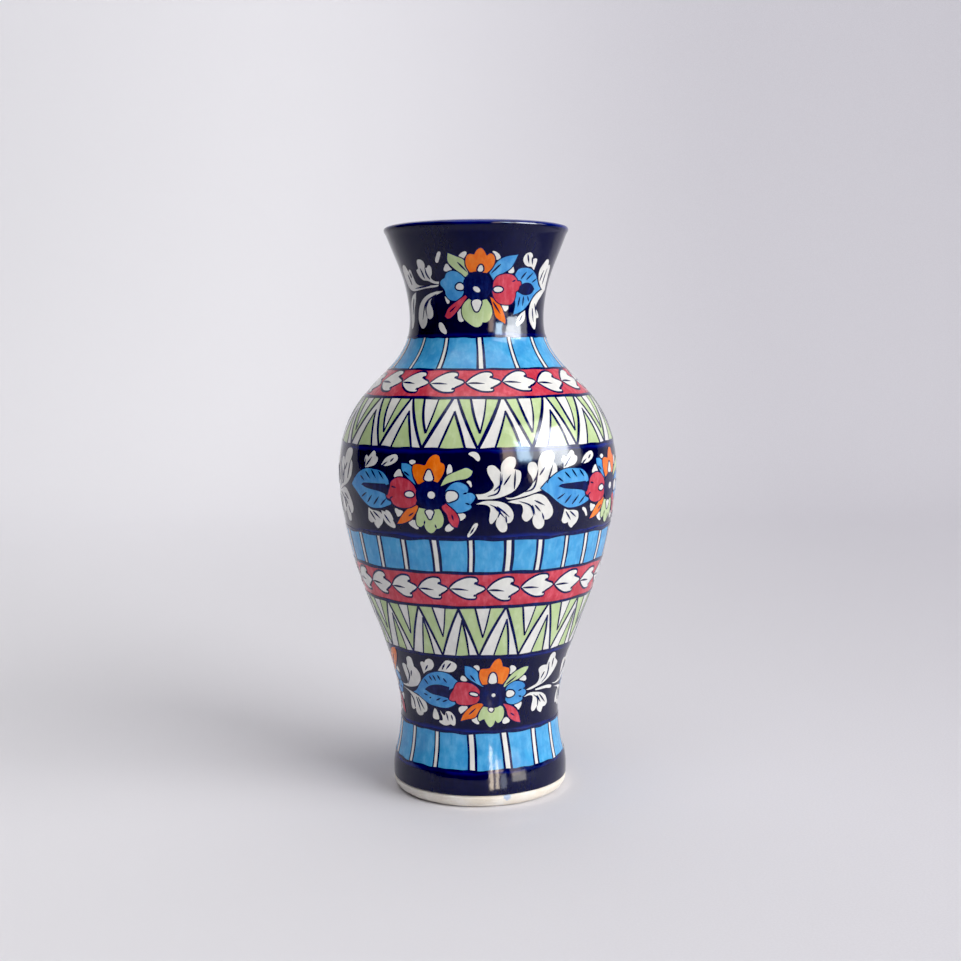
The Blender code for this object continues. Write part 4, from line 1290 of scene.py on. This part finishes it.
# ---------------------------------------------------------- floor and lights

PAPER_FRONT = -3.0     # the paper's near edge
PAPER_BACK = 1.1       # where it begins to curve up
PAPER_BEND = 0.9       # radius of that curve
PAPER_TOP = 3.6
PAPER_HALF_WIDTH = 4.0
PAPER_PAINTED_GLOW = 0.215     # painted light: how much the backdrop glows, though it is no lamp, at its brightest
# Paper tones; the darker right-hand one is painted shade, where less light falls
PAPER_LEFT = tone(236, 235, 239)
PAPER_RIGHT_SHADED = tone(198, 196, 203)
PAPER_GRAIN = tone(224, 223, 229)
# Painted shade: the dim room, painted onto the paper's near and right edges
PAINTED_ROOM_SHADE = tone(90, 90, 98)


def studio_paper():
    """Pale paper with painted shade, dimmer right and darker at its near and right edges, and a
    painted glow.
    """
    f = Finish("studio_paper")
    across = f.node("ShaderNodeSeparateXYZ")
    f.links.new(f.place, across.inputs[0])
    # Painted shade: the paper darkens towards the right, where less light falls
    shade = f.between(across.outputs["X"], -0.5, 0.55)
    grain = f.between(f.noise(900.0, 2.0), 0.3, 0.7, 0.0, 0.25)
    colour = f.mix(shade, PAPER_LEFT, PAPER_RIGHT_SHADED)
    colour = f.mix(grain, colour, PAPER_GRAIN)
    # Painted shade: dark paper beside the vase on the right, standing in for the dim room
    painted_shade_right = f.between(across.outputs["X"], 0.62, 0.72, 0.0, 0.6)
    painted_shade_right = f.maths("MULTIPLY", painted_shade_right, f.between(across.outputs["Y"], 0.5, 0.9, 1.0, 0.0))
    colour = f.mix(painted_shade_right, colour, PAINTED_ROOM_SHADE)
    # Painted shade: dark paper in front, standing in for the dim room that the glaze reflects
    near = f.between(across.outputs["Y"], -0.55, -0.24, 0.65, 0.0)
    colour = f.mix(near, colour, PAINTED_ROOM_SHADE)
    f.feed(f.shader.inputs["Base Color"], colour)
    # Painted light: the paper glows with its own colour, more towards the back
    f.feed(f.shader.inputs["Emission Color"], colour)
    f.feed(f.shader.inputs["Emission Strength"],
           f.between(across.outputs["Y"], 0.1, 1.7, 0.0, PAPER_PAINTED_GLOW))
    f.shader.inputs["Roughness"].default_value = 0.85
    f.shader.inputs["Specular IOR Level"].default_value = 0.2
    return f.material


def sweep():
    """Paper sweep: floor in front, curving up into the backdrop."""
    side = [(PAPER_FRONT, 0.0), (PAPER_BACK, 0.0)]
    side += [(PAPER_BACK + PAPER_BEND * math.sin(t), PAPER_BEND - PAPER_BEND * math.cos(t))
             for t in np.linspace(0, math.pi / 2, 24)[1:]]
    side.append((PAPER_BACK + PAPER_BEND, PAPER_TOP))
    mesh = bpy.data.meshes.new("paper_sweep")
    places = [(x, y, z) for y, z in side for x in (-PAPER_HALF_WIDTH, PAPER_HALF_WIDTH)]
    faces = [(2 * i, 2 * i + 1, 2 * i + 3, 2 * i + 2) for i in range(len(side) - 1)]
    mesh.from_pydata(places, [], faces)
    mesh.shade_smooth()
    paper = bpy.data.objects.new("paper_sweep", mesh)
    bpy.context.scene.collection.objects.link(paper)
    mesh.materials.append(studio_paper())


def lamp(name, place, aim, size, power, colour):
    """Rectangular soft light at a place, facing aim, in metres and watts."""
    light = bpy.data.lights.new(name, "AREA")
    light.shape = "RECTANGLE"
    light.size, light.size_y = size
    light.energy = power
    light.color = colour
    holder = bpy.data.objects.new(name, light)
    bpy.context.scene.collection.objects.link(holder)
    holder.location = place
    holder.rotation_euler = (Vector(aim) - Vector(place)).to_track_quat("-Z", "Y").to_euler()
    return holder


PANE_AWAY = 1.5        # distance of the panes from the vase's middle
PANE_LEVEL = 0.18      # height of that middle


def reflection_lamp(name, turn, rise, across, up, glow, colour):
    """Pane that shows only in the gloss, at a turn and rise from the front."""
    turn, rise = math.radians(turn), math.radians(rise)
    level = PANE_AWAY * math.cos(rise)
    height = PANE_LEVEL + PANE_AWAY * math.sin(rise)
    place = (level * math.sin(turn), -level * math.cos(turn), height)
    size = (2.0 * PANE_AWAY * math.tan(math.radians(across / 2)),
            2.0 * PANE_AWAY * math.tan(math.radians(up / 2)))
    power = glow * math.pi * size[0] * size[1]
    pane = lamp(name, place, (0.0, 0.0, PANE_LEVEL), size, power, colour)
    pane.visible_diffuse = False


# Name, turn, rise, width and height in degrees, glow, colour of each pane
SHINES = (
    ("sky_pane", 66.0, 18.0, 27.0, 30.0, 20.0, (0.9, 0.96, 1.0)),
    ("blue_pane", 38.0, 18.0, 11.0, 18.0, 21.0, (0.5, 0.76, 1.0)),
    ("brown_pane", 25.0, 12.0, 9.0, 24.0, 8.0, (1.0, 0.76, 0.6)),
    ("low_pane", 47.0, -2.0, 14.0, 9.0, 3.4, (1.0, 0.8, 0.66)),
)
# Name, across, out, height, turn, width and height in mm, glow, colour of each low card
FOOT_CARDS = (
    ("cream_card", 13.6, -74.5, 15.5, 14.5, 4.4, 30.0, 19.0, (1.0, 0.84, 0.64)),
    ("cream_card_2", 20.0, -72.6, 14.5, 24.0, 4.0, 27.0, 17.0, (1.0, 0.86, 0.68)),
    ("grey_card", 27.3, -70.5, 10.5, 31.0, 6.5, 19.0, 4.5, (0.8, 0.88, 1.0)),
    ("right_card", 43.2, -60.0, 14.0, 50.0, 17.0, 12.0, 6.0, (1.0, 0.94, 0.82)),
)


def foot_card(name, across, out, height, turn, wide, tall, glow, colour):
    """Small bright card close to the foot that shows only in its gloss."""
    turn = math.radians(turn)
    place = (across * MM, out * MM, height * MM)
    ahead = 30.0 * MM
    aim = (place[0] - ahead * math.sin(turn), place[1] + ahead * math.cos(turn), place[2])
    size = (wide * MM, tall * MM)
    card = lamp(name, place, aim, size, glow * math.pi * size[0] * size[1], colour)
    card.visible_diffuse = False
    card.visible_camera = False


# Name, place, aim, width and height in metres, watts, colour of each soft lamp
WINDOW = ("window", (1.72, -1.4, 1.3), (0.0, 0.0, 0.17), (1.5, 1.4), 44.5, (1.0, 0.995, 0.985))
SOFT_LAMPS = (
    ("side", (2.0, -0.3, 0.8), (0.0, 0.0, 0.16), (0.9, 1.1), 11.5, (1.0, 1.0, 0.99)),
    ("ceiling", (0.0, 0.2, 2.6), (0.0, 0.2, 0.0), (2.6, 2.6), 26.0, (1.0, 0.985, 0.96)),
    ("ceiling_front", (0.0, -1.0, 2.4), (0.0, -0.2, 0.0), (2.4, 1.4), 10.0, (1.0, 1.0, 1.0)),
)
ROOM_FRONT = 0.12      # strength of the room's light in front of the vase
ROOM_BACK = 0.0        # and behind it
ROOM_SPAN = (-0.4, 0.6)     # the one goes over to the other between these, front to back


def studio_light():
    """Window on the right, soft light from above, and a dim room in front."""
    world = bpy.data.worlds.new("dim_room")
    world.use_nodes = True
    nodes, links = world.node_tree.nodes, world.node_tree.links
    way = nodes.new("ShaderNodeSeparateXYZ")
    links.new(nodes.new("ShaderNodeTexCoord").outputs["Generated"], way.inputs[0])
    depth = nodes.new("ShaderNodeMapRange")
    for socket, value in zip(depth.inputs[1:5], (*ROOM_SPAN, ROOM_FRONT, ROOM_BACK)):
        socket.default_value = value
    links.new(way.outputs["Y"], depth.inputs[0])
    sky = nodes["Background"]
    sky.inputs["Color"].default_value = tone(236, 236, 246)
    links.new(depth.outputs[0], sky.inputs["Strength"])
    bpy.context.scene.world = world
    lamp(*WINDOW)
    for pane in SHINES:
        reflection_lamp(*pane)
    for card in FOOT_CARDS:
        foot_card(*card)
    for soft in SOFT_LAMPS:
        lamp(*soft)


LENS_ANGLE = 38.6677   # degrees across the whole frame
CAMERA_PLACE = (0.00143, -0.7322, 0.238)
CAMERA_DIP = 5.66      # degrees that the camera looks down
CAMERA_ROLL = -0.434   # degrees that it is turned about its own line of sight
BLACK_LEVEL = (0.012, 0.012, 0.011)


def studio_camera():
    """Camera a little above the shoulder, looking slightly down."""
    data = bpy.data.cameras.new("camera")
    data.sensor_width = 36.0
    data.angle = math.radians(LENS_ANGLE)
    data.clip_start = 0.02
    camera = bpy.data.objects.new("camera", data)
    bpy.context.scene.collection.objects.link(camera)
    pitch = math.radians(90.0 - CAMERA_DIP)
    turn = Matrix.Rotation(pitch, 4, "X") @ Matrix.Rotation(math.radians(CAMERA_ROLL), 4, "Z")
    camera.matrix_world = Matrix.Translation(CAMERA_PLACE) @ turn
    bpy.context.scene.camera = camera


sweep()
studio_light()
studio_camera()
view = bpy.context.scene.view_settings
view.view_transform = "Standard"
view.use_curve_mapping = True
view.curve_mapping.black_level = BLACK_LEVEL
